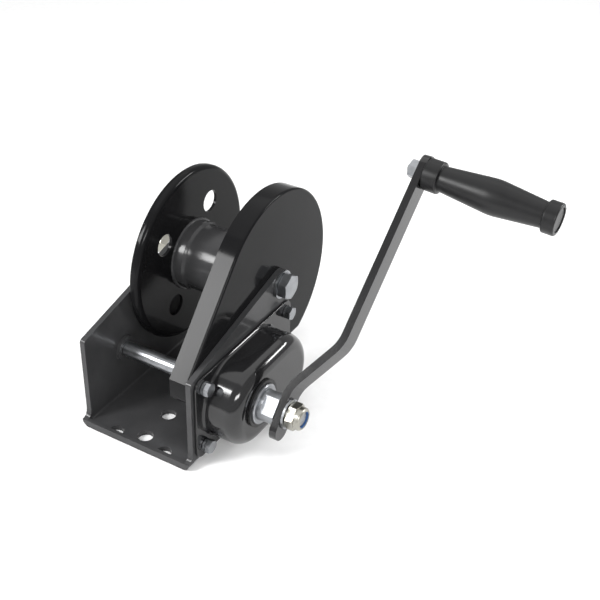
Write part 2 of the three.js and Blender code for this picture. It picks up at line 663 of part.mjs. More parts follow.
// ---- Drive shaft and brake ------------------------------------------------------------------------
function shaftBush(side) {
  const plateIn = side < 0 ? -plateInner : guardInner;
  const plateOut = side * plateOuter;
  const inner = plateIn - side * (GAP + SHAFT_BUSH_COLLAR);
  const bore = SHAFT_RADIUS + GAP;
  const low = Math.min(inner, plateOut);
  const high = Math.max(inner, plateOut);
  const collarLow = side < 0 ? high - SHAFT_BUSH_COLLAR : low;
  return join(
    tube(low, high, SHAFT_BUSH_RADIUS, bore, 20),
    tube(collarLow, collarLow + SHAFT_BUSH_COLLAR, SHAFT_BUSH_RADIUS + 2, bore, 20),
  );
}

function driveShaft() {
  const left = -plateOuter - SHAFT_END;
  const shoulder = hubLeft + 2;
  return turned(
    [
      [left, 0],
      [left, SHAFT_RADIUS - 1],
      [left + 1, SHAFT_RADIUS],
      [shoulder, SHAFT_RADIUS],
      [shoulder, SHAFT_THREAD_RADIUS],
      [shaftRight - 1, SHAFT_THREAD_RADIUS],
      [shaftRight, SHAFT_THREAD_RADIUS - 1],
      [shaftRight, 0],
    ],
    20,
  );
}

function ratchetWheel() {
  const points = [];
  const pitch = 360 / RATCHET_TEETH;
  for (let tooth = 0; tooth < RATCHET_TEETH; tooth++) {
    const face = degrees(RATCHET_FACE_ANGLE + tooth * pitch);
    for (const radius of [RATCHET_TIP_RADIUS, RATCHET_ROOT_RADIUS])
      points.push(new THREE.Vector2(radius * Math.cos(face), radius * Math.sin(face)));
  }
  const wheel = plate(new THREE.Shape(points), ratchetLeft, ratchetLeft + RATCHET_WIDTH);
  const bore = tube(ratchetLeft - 1, ratchetLeft + RATCHET_WIDTH + 1, SHAFT_RADIUS + GAP, 0, 20);
  return cut(wheel, bore);
}

// The pawl hangs from its pivot, and its toe holds one of the ratchet wheel's teeth.
function pawl() {
  const at = (radius, angle) => [
    radius * Math.cos(degrees(angle)) - (pawlPivotY - shaftY),
    radius * Math.sin(degrees(angle)) - (pawlPivotZ - SHAFT_HEIGHT),
  ];
  const toeAngle = RATCHET_FACE_ANGLE + 0.8;
  const outline = new THREE.Shape();
  outline.moveTo(...at(RATCHET_ROOT_RADIUS + 0.7, toeAngle));
  outline.lineTo(...at(RATCHET_TIP_RADIUS + 2, toeAngle));
  outline.absarc(0, 0, PAWL_BOSS_RADIUS, degrees(-20), degrees(200), false);
  outline.lineTo(...at(RATCHET_TIP_RADIUS + 1.4, toeAngle + 28));
  const body = plate(outline, ratchetLeft + PAWL_INSET, ratchetLeft + RATCHET_WIDTH - PAWL_INSET, 10);
  return cut(body, tube(ratchetLeft - 1, ratchetLeft + RATCHET_WIDTH + 1, PAWL_PIN_RADIUS + GAP, 0, 14));
}

// The coil on the pawl's pin, drawn as one sleeve with a leg that presses on the pawl.
function pawlSpring() {
  const left = ratchetLeft + RATCHET_WIDTH - PAWL_INSET + GAP;
  const bore = PAWL_PIN_RADIUS + GAP;
  const coil = tube(left, left + PAWL_SPRING_WIDTH, bore + PAWL_SPRING_WIRE, bore, 16);
  const legLeft = left + 0.5;
  const legFront = bore + 0.2;
  const legRear = legFront + PAWL_SPRING_WIRE;
  const leg = box(legLeft, legLeft + PAWL_SPRING_WIRE, legFront, legRear, -14, 0);
  return join(coil, leg);
}

function pawlPin() {
  const head = coverLeft + GAP;
  const right = ratchetLeft + RATCHET_WIDTH + 8;
  const shoulder = ratchetLeft - 0.2;
  return turned(
    [
      [plateInner + GAP, 0],
      [plateInner + GAP, PAWL_PIN_RADIUS],
      [head, PAWL_PIN_RADIUS],
      [head, PAWL_BOSS_RADIUS],
      [shoulder, PAWL_BOSS_RADIUS],
      [shoulder, PAWL_PIN_RADIUS],
      [right, PAWL_PIN_RADIUS],
      [right, 0],
    ],
    16,
  );
}

// The hub screws on the shaft's thread. Its disc squeezes the ratchet wheel between the friction
// rings, and its end has two milled flats and a tang that carries the arm.
function crankHub() {
  const discRight = hubLeft + SHAFT_DISC_WIDTH;
  const end = armLeft - GAP;
  const body = turned(
    [
      [hubLeft, 0],
      [hubLeft, DISC_RADIUS],
      [discRight, DISC_RADIUS],
      [discRight, HUB_RADIUS],
      [end, HUB_RADIUS],
      [end, TANG_RADIUS],
      [armRight, TANG_RADIUS],
      [armRight, 0],
    ],
    28,
  );
  const flatLeft = end - HUB_FLAT_LENGTH;
  const reach = HUB_RADIUS + 1;
  const flats = [-1, 1].map((side) => {
    const near = side < 0 ? -reach : HUB_FLAT;
    const far = side < 0 ? -HUB_FLAT : reach;
    return box(flatLeft, end, -reach, reach, near, far);
  });
  const tangSides = [-1, 1].map((side) => {
    const near = side < 0 ? -reach : TANG_FLAT;
    const far = side < 0 ? -TANG_FLAT : reach;
    return box(end, armRight + 1, -reach, reach, near, far);
  });
  const threadBore = tube(hubLeft - 1, armRight + 1, SHAFT_THREAD_RADIUS + GAP, 0, 16);
  const counterbore = tube(hubLeft - 1, hubLeft + 2 + GAP, SHAFT_RADIUS + GAP, 0, 16);
  return cut(body, ...flats, ...tangSides, threadBore, counterbore);
}

function brake(group) {
  piece(group, "drive_shaft", driveShaft(), "zinc");
  // A gap between pinion teeth faces the drum's axis, where a drum tooth stands.
  const facing = meshAngle + Math.PI + Math.PI / PINION_TEETH;
  const teeth = plate(gearOutline(PINION_TEETH, facing), gearLeft, gearRight);
  const pinionBore = tube(gearLeft - 1, gearRight + 1, SHAFT_RADIUS + GAP, 0, 20);
  piece(group, "pinion", cut(teeth, pinionBore), "steel");
  const bore = SHAFT_RADIUS + GAP;
  const disc = tube(shaftDiscLeft, shaftDiscLeft + SHAFT_DISC_WIDTH, DISC_RADIUS, bore);
  piece(group, "shaft_disc", disc, "steel");
  const ring = (left) => tube(left, left + FRICTION_WIDTH, DISC_RADIUS - 0.5, bore);
  piece(group, "friction_ring_inner", ring(innerFrictionLeft), "friction");
  piece(group, "friction_ring_outer", ring(outerFrictionLeft), "friction");
  const clipRight = -plateOuter - 1;
  const clip = tube(clipRight - CLIP_WIDTH, clipRight, SHAFT_RADIUS + CLIP_RISE, bore, 16);
  piece(group, "shaft_clip", clip, "steel");
}

// The bearing ring in the cover's face, and the rubber seal about it.
function coverBearing(group) {
  const left = coverFace - COLLAR_SUNK;
  const right = coverFace + COLLAR_PROUD;
  const chamfer = 0.8;
  const bore = HUB_RADIUS + GAP;
  const ring = turned([
    [left, bore],
    [left, collarRadius],
    [right - chamfer, collarRadius],
    [right, collarRadius - chamfer],
    [right, bore],
    [left, bore],
  ]);
  piece(group, "cover_collar", ring, "zinc");
  const sealLeft = coverFace + GAP;
  const sealBore = collarRadius + GAP;
  const seal = tube(sealLeft, sealLeft + SEAL_HEIGHT, sealBore + SEAL_WIDTH, sealBore, 28);
  piece(group, "collar_seal", seal, "rubber");
}

// ---- Crank ----------------------------------------------------------------------------------------
// The arm's bent centre line, as [along, outwards] points with its two bends rounded.
function armLine() {
  const v = (along, out) => new THREE.Vector2(along, out);
  const start = v(-ARM_END, armMiddle);
  const bends = [v(JOGGLE_START, armMiddle), v(JOGGLE_END, armUpper)];
  const endAlong = CRANK_RADIUS + ARM_TIP + ARM_WIDTH / 2;
  const end = v(endAlong, armUpper + (endAlong - JOGGLE_END) * flareTan);
  const corners = [start, ...bends, end];
  const points = [start];
  for (let index = 1; index < corners.length - 1; index++) {
    const corner = corners[index];
    const before = corners[index - 1].clone().sub(corner).setLength(BEND_TANGENT);
    const after = corners[index + 1].clone().sub(corner).setLength(BEND_TANGENT);
    const from = corner.clone().add(before);
    const bend = new THREE.QuadraticBezierCurve(from, corner, corner.clone().add(after));
    points.push(...bend.getPoints(4));
  }
  points.push(end);
  return points;
}

// The centre line given a thickness, as a closed outline.
function armSection() {
  const line = armLine();
  const left = [];
  const right = [];
  line.forEach((point, index) => {
    const before = line[Math.max(index - 1, 0)];
    const after = line[Math.min(index + 1, line.length - 1)];
    const direction = after.clone().sub(before).normalize();
    const side = new THREE.Vector2(-direction.y, direction.x).multiplyScalar(ARM_SHEET / 2);
    left.push(point.clone().add(side));
    right.push(point.clone().sub(side));
  });
  return new THREE.Shape([...right, ...left.reverse()]);
}

// The arm lies along its group's Y axis, with its width along Z.
function crankArm() {
  const settings = { depth: ARM_WIDTH, bevelEnabled: false };
  const strip = new THREE.ExtrudeGeometry(armSection(), settings);
  const toArm = new THREE.Matrix4().makeBasis(Y_AXIS, X_AXIS, DOWN);
  strip.applyMatrix4(toArm).translate(0, 0, ARM_WIDTH / 2);
  const half = ARM_WIDTH / 2;
  const rounded = stadium(-ARM_END + half, CRANK_RADIUS + ARM_TIP, 0, half);
  const reach = endMiddle + ARM_SHEET + ARM_WIDTH;
  const arm = common(strip, plate(rounded, armLeft - 20, reach, 12));
  const tangHole = common(
    tube(armLeft - 2, armRight + 2, TANG_RADIUS + GAP, 0, 20),
    box(armLeft - 2, armRight + 2, -half, half, -TANG_FLAT - GAP, TANG_FLAT + GAP),
  );
  const boltHole = tube(-30, 30, GRIP_BOLT_RADIUS + GAP, 0, 16);
  boltHole.rotateZ(-degrees(ARM_FLARE)).translate(endMiddle, CRANK_RADIUS, 0);
  return cut(arm, tangHole, boltHole);
}

function crank(group) {
  piece(group, "crank_hub", crankHub(), "zinc");
  piece(group, "crank_arm", crankArm(), "blackPaint");
  const bore = SHAFT_THREAD_RADIUS + GAP;
  const washerLeft = armRight + GAP;
  const washer = tube(washerLeft, washerLeft + LARGE_WASHER_HEIGHT, LARGE_WASHER_RADIUS, bore);
  piece(group, "crank_washer", washer, "zinc");
  const nutRight = nutLeft + LARGE_NUT_HEIGHT;
  piece(group, "crank_nut", lockNut(nutLeft, nutRight, LARGE_HEX, bore), "yellowZinc");
  const ringRadius = LARGE_HEX / 2 - NUT_POCKET_WALL - GAP;
  const insert = tube(nutRight - 2.2, nutRight - 0.4, ringRadius, bore, 16);
  piece(group, "crank_nut_insert", insert, "blueNylon");
}

// ---- Grip: its group's X axis runs outwards from the arm's outer face ------------------------------
function grip() {
  const left = GAP;
  const right = left + GRIP_LENGTH;
  const edge = 1;
  const neckLeft = left + GRIP_COLLAR_LENGTH;
  const neckRight = right - GRIP_COLLAR_LENGTH + 1;
  const flute = 1.2; // the shoulder between a collar and the neck
  return turned(
    [
      [left, gripBore],
      [left, GRIP_COLLAR_RADIUS - edge],
      [left + edge, GRIP_COLLAR_RADIUS],
      [neckLeft - edge, GRIP_COLLAR_RADIUS],
      [neckLeft, GRIP_COLLAR_RADIUS - edge],
      [neckLeft + flute, GRIP_NECK_RADIUS],
      [GRIP_BELLY_AT - 20, GRIP_BELLY_RADIUS - 1.2],
      [GRIP_BELLY_AT - 8, GRIP_BELLY_RADIUS - 0.1],
      [GRIP_BELLY_AT, GRIP_BELLY_RADIUS],
      [neckRight - flute, GRIP_NECK_RADIUS],
      [neckRight, GRIP_COLLAR_RADIUS - edge],
      [neckRight + edge, GRIP_COLLAR_RADIUS],
      [right - edge, GRIP_COLLAR_RADIUS],
      [right, GRIP_COLLAR_RADIUS - edge],
      [right, GRIP_POCKET_RADIUS + GAP],
      [right - GRIP_POCKET_DEPTH, GRIP_POCKET_RADIUS + GAP],
      [right - GRIP_POCKET_DEPTH, gripBore],
      [left, gripBore],
    ],
    30,
  );
}

function gripHardware(group) {
  const headLeft = GAP + GRIP_LENGTH - GRIP_POCKET_DEPTH + GAP;
  const headRight = headLeft + GRIP_HEAD_HEIGHT;
  const headRadius = GRIP_POCKET_RADIUS - 1;
  const nutRight = -ARM_SHEET - GAP;
  const nutLeftEnd = nutRight - GRIP_NUT_HEIGHT;
  const shankLeft = nutLeftEnd - 2;
  const bolt = turned(
    [
      [shankLeft, 0],
      [shankLeft, GRIP_BOLT_RADIUS - 1],
      [shankLeft + 1, GRIP_BOLT_RADIUS],
      [headLeft, GRIP_BOLT_RADIUS],
      [headLeft, headRadius],
      [headRight, headRadius],
      [headRight, 0],
    ],
    18,
  );
  piece(group, "grip_bolt", bolt, "zinc");
  const nut = cut(
    hexBody(nutLeftEnd, nutRight, GRIP_HEX),
    tube(nutLeftEnd - 1, nutRight + 1, GRIP_BOLT_RADIUS + GAP, 0, 16),
  );
  piece(group, "grip_nut", nut, "zinc");
}

function gripPlug() {
  const right = GAP + GRIP_LENGTH - 0.8;
  return tube(right - GRIP_PLUG_HEIGHT, right, GRIP_POCKET_RADIUS);
}

// ---- The assembly ---------------------------------------------------------------------------------
const winch = new THREE.Group();

const structure = new THREE.Group();
piece(structure, "frame", frame(), "blackPaint");
piece(structure, "gear_guard", gearGuard(), "blackPaint");
piece(structure, "brake_cover", brakeCover(), "blackPaint");
coverFasteners(structure);
winch.add(structure);

const axleLine = new THREE.Group();
axleLine.position.set(0, axleY, AXLE_HEIGHT);
axle(axleLine);
const drumGroup = new THREE.Group();
drum(drumGroup);
axleLine.add(drumGroup);
winch.add(axleLine);

const shaftLine = new THREE.Group();
shaftLine.position.set(0, shaftY, SHAFT_HEIGHT);
piece(shaftLine, "shaft_bush_left", shaftBush(-1), "blackPaint");
piece(shaftLine, "shaft_bush_right", shaftBush(1), "steel");
coverBearing(shaftLine);
brake(shaftLine);
piece(shaftLine, "ratchet_wheel", ratchetWheel(), "steel");
winch.add(shaftLine);

const pawlGroup = new THREE.Group();
pawlGroup.position.set(0, pawlPivotY, pawlPivotZ);
piece(pawlGroup, "pawl", pawl(), "steel");
piece(pawlGroup, "pawl_spring", pawlSpring(), "steel");
piece(pawlGroup, "pawl_pin", pawlPin(), "zinc");
winch.add(pawlGroup);

const crankGroup = new THREE.Group();
crankGroup.rotation.x = degrees(CRANK_ANGLE);
crank(crankGroup);
const gripGroup = new THREE.Group();
gripGroup.position.set(endMiddle, CRANK_RADIUS, 0);
gripGroup.rotation.z = -degrees(ARM_FLARE);
const gripParts = new THREE.Group();
gripParts.position.x = ARM_SHEET / 2;
piece(gripParts, "grip", grip(), "rubber");
piece(gripParts, "grip_plug", gripPlug(), "rubber");
gripHardware(gripParts);
gripGroup.add(gripParts);
crankGroup.add(gripGroup);
shaftLine.add(crankGroup);

export default winch;
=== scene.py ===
# %% [markdown]
# # A boat trailer winch, piece by piece
#
# A trailer winch pulls a boat up onto its trailer. The crank turns a small pinion, the pinion turns a
# large gear on the drum, and a brake under the domed cover holds the load whenever the hand lets go.
# This lesson dresses a packed mechanical model. The machine's own solids set every size and place, and
# Blender adds what a solid lacks: rolled edges, pressed curves, plating and paint.

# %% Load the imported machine
import json
import math

import bmesh
import bpy
from mathutils import Matrix, Vector


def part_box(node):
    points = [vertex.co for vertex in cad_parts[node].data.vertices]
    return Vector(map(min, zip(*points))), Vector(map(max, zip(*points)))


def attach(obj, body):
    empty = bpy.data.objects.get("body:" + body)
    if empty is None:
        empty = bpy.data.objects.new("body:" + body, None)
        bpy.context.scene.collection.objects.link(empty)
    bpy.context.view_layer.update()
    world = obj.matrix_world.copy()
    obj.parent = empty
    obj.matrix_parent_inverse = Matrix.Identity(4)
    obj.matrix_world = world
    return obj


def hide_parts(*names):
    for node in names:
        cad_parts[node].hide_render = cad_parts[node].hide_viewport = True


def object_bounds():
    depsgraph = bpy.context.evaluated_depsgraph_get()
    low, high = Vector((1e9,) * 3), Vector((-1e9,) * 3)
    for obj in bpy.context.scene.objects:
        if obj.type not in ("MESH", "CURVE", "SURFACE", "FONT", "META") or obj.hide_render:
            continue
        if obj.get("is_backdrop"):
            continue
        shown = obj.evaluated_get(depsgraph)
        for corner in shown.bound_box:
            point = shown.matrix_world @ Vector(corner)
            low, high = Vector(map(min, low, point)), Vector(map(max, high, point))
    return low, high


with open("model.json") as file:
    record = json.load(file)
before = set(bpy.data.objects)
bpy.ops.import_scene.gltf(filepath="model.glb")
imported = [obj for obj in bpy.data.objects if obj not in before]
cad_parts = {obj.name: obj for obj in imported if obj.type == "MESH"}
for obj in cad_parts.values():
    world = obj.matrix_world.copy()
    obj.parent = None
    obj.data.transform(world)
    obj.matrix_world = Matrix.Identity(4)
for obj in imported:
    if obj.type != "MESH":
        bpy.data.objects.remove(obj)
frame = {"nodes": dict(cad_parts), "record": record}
cad_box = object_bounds()
record = frame["record"]
print("machine size in mm:", [round((high - low) * 1000, 1) for low, high in zip(*cad_box)])

# %% [markdown]
# ## Units and places
#
# Blender works in metres and a workshop thinks in millimetres, so lengths are written in millimetres and
# multiplied by MM. The axles' places come from the machine's joints, and the faces' places from its
# solids, so nothing here can drift away from the mechanism.

# %% Units and places
MM = 0.001


def low(node, axis):
    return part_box(node)[0]["xyz".index(axis)] / MM


def high(node, axis):
    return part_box(node)[1]["xyz".index(axis)] / MM


def joint(name):
    return next(j for j in record["behaviour"]["joints"] if j["name"] == name)


axle_y, axle_z = [value / MM for value in joint("drum_spin")["pos_m"][1:]]
shaft_y, shaft_z = [value / MM for value in joint("crank_spin")["pos_m"][1:]]
grip_place = Vector(joint("grip_spin")["pos_m"]) / MM
grip_axis = Vector(joint("grip_spin")["axis"]).normalized()
print("drum axle at", round(axle_y, 1), round(axle_z, 1), "and crank shaft at", round(shaft_y, 1), shaft_z)

# %% [markdown]
# ## Colour, and one helper for shader nodes
#
# Paint charts and hex codes are sRGB, while the shader adds light, which needs linear numbers. One
# function does that change. A second one adds a shader node, sets it, colours its stops and links it:
# every material below is a handful of calls to it, so a finish can be read from top to bottom.

# %% Colour and node helpers
def linear(hex_code):
    def channel(start):
        value = int(hex_code[start : start + 2], 16) / 255
        return value / 12.92 if value <= 0.04045 else ((value + 0.055) / 1.055) ** 2.4

    return (channel(1), channel(3), channel(5), 1.0)


def add_node(material, kind, sockets=None, stops=(), **settings):
    tree = material.node_tree
    node = tree.nodes.new(kind)
    for name, value in settings.items():
        setattr(node, name, value)
    for index, (position, hex_code) in enumerate(stops):
        node.color_ramp.elements[index].position = position
        node.color_ramp.elements[index].color = linear(hex_code)
    for name, value in (sockets or {}).items():
        socket = node.inputs[name]
        if isinstance(value, bpy.types.NodeSocket):
            tree.links.new(value, socket)
        else:
            socket.default_value = value
    return node


def new_finish(name):
    material = bpy.data.materials.new(name)
    material.use_nodes = True
    material.node_tree.nodes.clear()
    return material


print("middle grey #808080 is", round(linear("#808080")[0], 3), "in light")

# %% [markdown]
# ## Gloss black powder coat
#
# The sheet steel is sprayed with dry polyester powder and baked. The powder melts and flows, but never
# quite level, which leaves a faint orange peel a couple of millimetres across. To the eye it is a deep
# black that turns grey where it mirrors something pale, with soft edges to the reflections. The IOR of a
# polyester film is near 1.5, and the peel is a bump of a few hundredths of a millimetre. A specular level
# of 0.5 leaves that IOR as it is. The cover and the crank arm have it, and the other sheet parts, whose
# shine looks weaker, are matched with less.

# %% Powder coat
DARK_STOP, LIGHT_STOP = 0.3, 0.7
NOISE_LOW, NOISE_HIGH = 0.25, 0.75
FLOW_SPREAD = 0.05
COAT_IOR = 1.5
CLOUD_SIZE = 28
PEEL_SIZE = 2.2
PEEL_HEIGHT = 0.03


def powder_coat(name, dark, light, gloss, film):
    coat = new_finish(name)
    place = add_node(coat, "ShaderNodeTexCoord").outputs["Object"]
    clouds = add_node(
        coat, "ShaderNodeTexNoise", {"Vector": place, "Scale": 1 / (CLOUD_SIZE * MM), "Detail": 3.0}
    ).outputs["Fac"]
    peel = add_node(
        coat, "ShaderNodeTexNoise", {"Vector": place, "Scale": 1 / (PEEL_SIZE * MM), "Detail": 1.0}
    ).outputs["Fac"]
    tint = add_node(
        coat, "ShaderNodeValToRGB", {"Fac": clouds}, stops=[(DARK_STOP, dark), (LIGHT_STOP, light)]
    )
    flow = add_node(
        coat,
        "ShaderNodeMapRange",
        {
            "Value": clouds,
            "From Min": NOISE_LOW,
            "From Max": NOISE_HIGH,
            "To Min": gloss,
            "To Max": gloss + FLOW_SPREAD,
        },
        clamp=True,
    )
    waves = add_node(
        coat, "ShaderNodeBump", {"Height": peel, "Distance": PEEL_HEIGHT * MM, "Strength": 0.2}
    )
    shader = add_node(
        coat,
        "ShaderNodeBsdfPrincipled",
        {
            "Base Color": tint.outputs["Color"],
            "Roughness": flow.outputs["Result"],
            "Normal": waves.outputs["Normal"],
            "IOR": COAT_IOR,
            "Specular IOR Level": film,
        },
    )
    add_node(coat, "ShaderNodeOutputMaterial", {"Surface": shader.outputs["BSDF"]})
    return coat


FRAME_COAT = powder_coat("powder_coat_frame", "#363637", "#3e3e3f", 0.15, 0.22)
GUARD_COAT = powder_coat("powder_coat_guard", "#121213", "#161617", 0.1, 0.08)
COVER_COAT = powder_coat("powder_coat_cover", "#161617", "#1b1b1c", 0.09, 0.5)
square_on = ((COAT_IOR - 1) / (COAT_IOR + 1)) ** 2
print("powder coat on the cover mirrors", round(square_on * 100), "percent, seen square on")

# %% [markdown]
# ## Zinc plate, bright and yellow
#
# Bolts, washers and the shaft are plated with zinc against salt water. Zinc is a metal, so its colour sits in
# the reflection and the IOR stays at its default. Plating is never even: the brightness drifts over a few
# millimetres. Turned pieces keep rings from the lathe about 0.1 mm apart. That is too fine to show, so
# they are drawn as soft bands about 2 mm apart: a 6 mm noise, squeezed three times along the axle. Yellow
# zinc has a chromate film, which warms it a little.

# %% Zinc plate
HAZE_SPREAD = 0.14
DRIFT_SIZE = 5
RING_SIZE = 6
RING_SQUEEZE = (3.0, 0.4, 0.4)
RING_HEIGHT = 0.02


def zinc_plate(name, dark, light, shine):
    plate = new_finish(name)
    place = add_node(plate, "ShaderNodeTexCoord").outputs["Object"]
    drift = add_node(
        plate, "ShaderNodeTexNoise", {"Vector": place, "Scale": 1 / (DRIFT_SIZE * MM), "Detail": 3.0}
    ).outputs["Fac"]
    squeezed = add_node(plate, "ShaderNodeMapping", {"Vector": place, "Scale": RING_SQUEEZE})
    rings = add_node(
        plate,
        "ShaderNodeTexNoise",
        {"Vector": squeezed.outputs["Vector"], "Scale": 1 / (RING_SIZE * MM), "Detail": 1.0},
    ).outputs["Fac"]
    tint = add_node(
        plate, "ShaderNodeValToRGB", {"Fac": drift}, stops=[(DARK_STOP, dark), (LIGHT_STOP, light)]
    )
    haze = add_node(
        plate,
        "ShaderNodeMapRange",
        {
            "Value": drift,
            "From Min": NOISE_LOW,
            "From Max": NOISE_HIGH,
            "To Min": shine,
            "To Max": shine + HAZE_SPREAD,
        },
        clamp=True,
    )
    grooves = add_node(
        plate, "ShaderNodeBump", {"Height": rings, "Distance": RING_HEIGHT * MM, "Strength": 0.06}
    )
    shader = add_node(
        plate,
        "ShaderNodeBsdfPrincipled",
        {
            "Base Color": tint.outputs["Color"],
            "Metallic": 1.0,
            "Roughness": haze.outputs["Result"],
            "Normal": grooves.outputs["Normal"],
        },
    )
    add_node(plate, "ShaderNodeOutputMaterial", {"Surface": shader.outputs["BSDF"]})
    return plate


BRIGHT_ZINC = zinc_plate("zinc_plate_bright", "#8b8d90", "#9ea0a3", 0.28)
YELLOW_ZINC = zinc_plate("zinc_plate_yellow", "#939189", "#a5a39b", 0.26)
print("zinc rings are drawn", RING_SIZE / RING_SQUEEZE[0], "mm apart")

# %% [markdown]
# ## Bare steel and bronze
#
# Gears are cut from plain steel and oiled, so they are darker and duller than plate. The drum runs on
# sintered bronze: pressed metal grains with oil in the pores, which gives it an uneven tone. Both use the
# zinc recipe with the colours of their own metal and a higher roughness.

# %% Steel and bronze
OILED_STEEL = zinc_plate("oiled_cut_steel", "#5c5d60", "#808184", 0.34)
SINTERED_BRONZE = zinc_plate("sintered_bronze", "#8d6a3a", "#b38c55", 0.42)
print("metals mixed:", BRIGHT_ZINC.name, YELLOW_ZINC.name, OILED_STEEL.name, SINTERED_BRONZE.name)

# %% [markdown]
# ## Moulded rubber, friction lining and nylon
#
# The grip is moulded in black thermoplastic rubber from a spark-eroded mould, which leaves a fine matt
# grain. Real grain is about 0.15 mm, too fine to show here, so it is drawn at 0.6 mm. Rubber's IOR is near
# 1.5, but real grain traps some of the light that this coarser one lets go, so the IOR is lowered to match.
# The lining of the brake is woven from brown fibre bundles about 0.9 mm wide and set in resin. The ring in
# a locking nut is blue nylon, slightly waxy, with faint waves about 0.8 mm across from its mould.

# %% Rubber, lining and nylon
MOULD_CLOUDS = 14
MATT_SPREAD = 0.08
REAL_GRAIN, DRAWN_GRAIN = 0.15, 0.6


def moulded(name, dark, light, roughness, grain_mm, depth_mm, ior=1.5):
    moulding = new_finish(name)
    place = add_node(moulding, "ShaderNodeTexCoord").outputs["Object"]
    clouds = add_node(
        moulding, "ShaderNodeTexNoise", {"Vector": place, "Scale": 1 / (MOULD_CLOUDS * MM), "Detail": 3.0}
    ).outputs["Fac"]
    grain = add_node(
        moulding, "ShaderNodeTexNoise", {"Vector": place, "Scale": 1 / (grain_mm * MM), "Detail": 2.0}
    ).outputs["Fac"]
    tint = add_node(
        moulding, "ShaderNodeValToRGB", {"Fac": clouds}, stops=[(DARK_STOP, dark), (LIGHT_STOP, light)]
    )
    matt = add_node(
        moulding,
        "ShaderNodeMapRange",
        {
            "Value": clouds,
            "From Min": NOISE_LOW,
            "From Max": NOISE_HIGH,
            "To Min": roughness,
            "To Max": roughness + MATT_SPREAD,
        },
        clamp=True,
    )
    pores = add_node(
        moulding, "ShaderNodeBump", {"Height": grain, "Distance": depth_mm * MM, "Strength": 0.5}
    )
    shader = add_node(
        moulding,
        "ShaderNodeBsdfPrincipled",
        {
            "Base Color": tint.outputs["Color"],
            "Roughness": matt.outputs["Result"],
            "Normal": pores.outputs["Normal"],
            "IOR": ior,
        },
    )
    add_node(moulding, "ShaderNodeOutputMaterial", {"Surface": shader.outputs["BSDF"]})
    return moulding


MOULDED_RUBBER = moulded("moulded_rubber", "#0f0f10", "#161617", 0.34, DRAWN_GRAIN, 0.04, ior=1.38)
BRAKE_LINING = moulded("woven_brake_lining", "#4a3d32", "#6a5747", 0.82, 0.9, 0.1)
BLUE_NYLON = moulded("blue_nylon", "#2f5284", "#3f6597", 0.4, 0.8, 0.02, ior=1.53)
print("rubber grain is drawn", round(DRAWN_GRAIN / REAL_GRAIN), "times coarser than real")

# %% [markdown]
# ## Which finish goes where
#
# Every solid of the machine names the finish it is made in, and this list turns that name into a material.

# %% Finish of each material slot
FINISH_OF_SLOT = {
    "black_paint": FRAME_COAT,
    "zinc": BRIGHT_ZINC,
    "yellow_zinc": YELLOW_ZINC,
    "steel": OILED_STEEL,
    "bronze": SINTERED_BRONZE,
    "rubber": MOULDED_RUBBER,
    "friction": BRAKE_LINING,
    "blue_nylon": BLUE_NYLON,
}
print(len(FINISH_OF_SLOT), "finishes mixed")

# %% [markdown]
# ## Dress the machine's own solids
#
# Every solid of the machine is shown unless a finer piece takes its place later. Curved sides are made of
# narrow flats, so edges that bend by less than 32 degrees are shaded smooth and sharper ones are kept.
# The flat faces then get their own true normals back, or they would show streaks. These are modifiers, so
# the solid itself stays as it is.

# %% Smooth shading
def smooth_up_to(angle_degrees):
    group = bpy.data.node_groups.new("smooth_gentle_edges", "GeometryNodeTree")
    group.interface.new_socket("Geometry", in_out="INPUT", socket_type="NodeSocketGeometry")
    group.interface.new_socket("Geometry", in_out="OUTPUT", socket_type="NodeSocketGeometry")
    start = group.nodes.new("NodeGroupInput")
    end = group.nodes.new("NodeGroupOutput")
    faces = group.nodes.new("GeometryNodeSetShadeSmooth")
    edges = group.nodes.new("GeometryNodeSetShadeSmooth")
    edges.domain = "EDGE"
    angle = group.nodes.new("GeometryNodeInputMeshEdgeAngle")
    sharp = group.nodes.new("FunctionNodeCompare")
    sharp.operation = "LESS_THAN"
    sharp.inputs["B"].default_value = math.radians(angle_degrees)
    group.links.new(start.outputs[0], faces.inputs["Geometry"])
    group.links.new(faces.outputs[0], edges.inputs["Geometry"])
    group.links.new(angle.outputs["Unsigned Angle"], sharp.inputs["A"])
    group.links.new(sharp.outputs[0], edges.inputs["Shade Smooth"])
    group.links.new(edges.outputs[0], end.inputs[0])
    return group


SMOOTH_UP_TO = 32
SMOOTH = smooth_up_to(SMOOTH_UP_TO)


def shade(piece):
    smooth = piece.modifiers.new("smooth", "NODES")
    smooth.node_group = SMOOTH
    flats = piece.modifiers.new("keep_flats_flat", "WEIGHTED_NORMAL")
    flats.weight = 100
    flats.keep_sharp = True


print("edges are smooth up to", SMOOTH_UP_TO, "degrees")

# %% [markdown]
# ## Rounded edges
#
# A machined edge is never knife sharp, and it is that small round that catches the light. Flat faces that
# were split into triangles are joined first, then a bevel of a few tenths of a millimetre runs along each
# sharp edge. The crank arm gets the cover's glossier coat.

# %% Dress every solid
JOIN_FLATS_WITHIN = 0.5
DEFAULT_ROUND = 0.25


def round_edges(piece, width_mm, segments=2, from_angle=40):
    bevel = piece.modifiers.new("rounded_edges", "BEVEL")
    bevel.width = width_mm * MM
    bevel.segments = segments
    bevel.limit_method = "ANGLE"
    bevel.angle_limit = math.radians(from_angle)


def dress(node, width_mm):
    solid = frame["nodes"][node]
    flat = solid.modifiers.new("join_flat_faces", "DECIMATE")
    flat.decimate_type = "DISSOLVE"
    flat.angle_limit = math.radians(JOIN_FLATS_WITHIN)
    round_edges(solid, width_mm)
    shade(solid)
    return solid


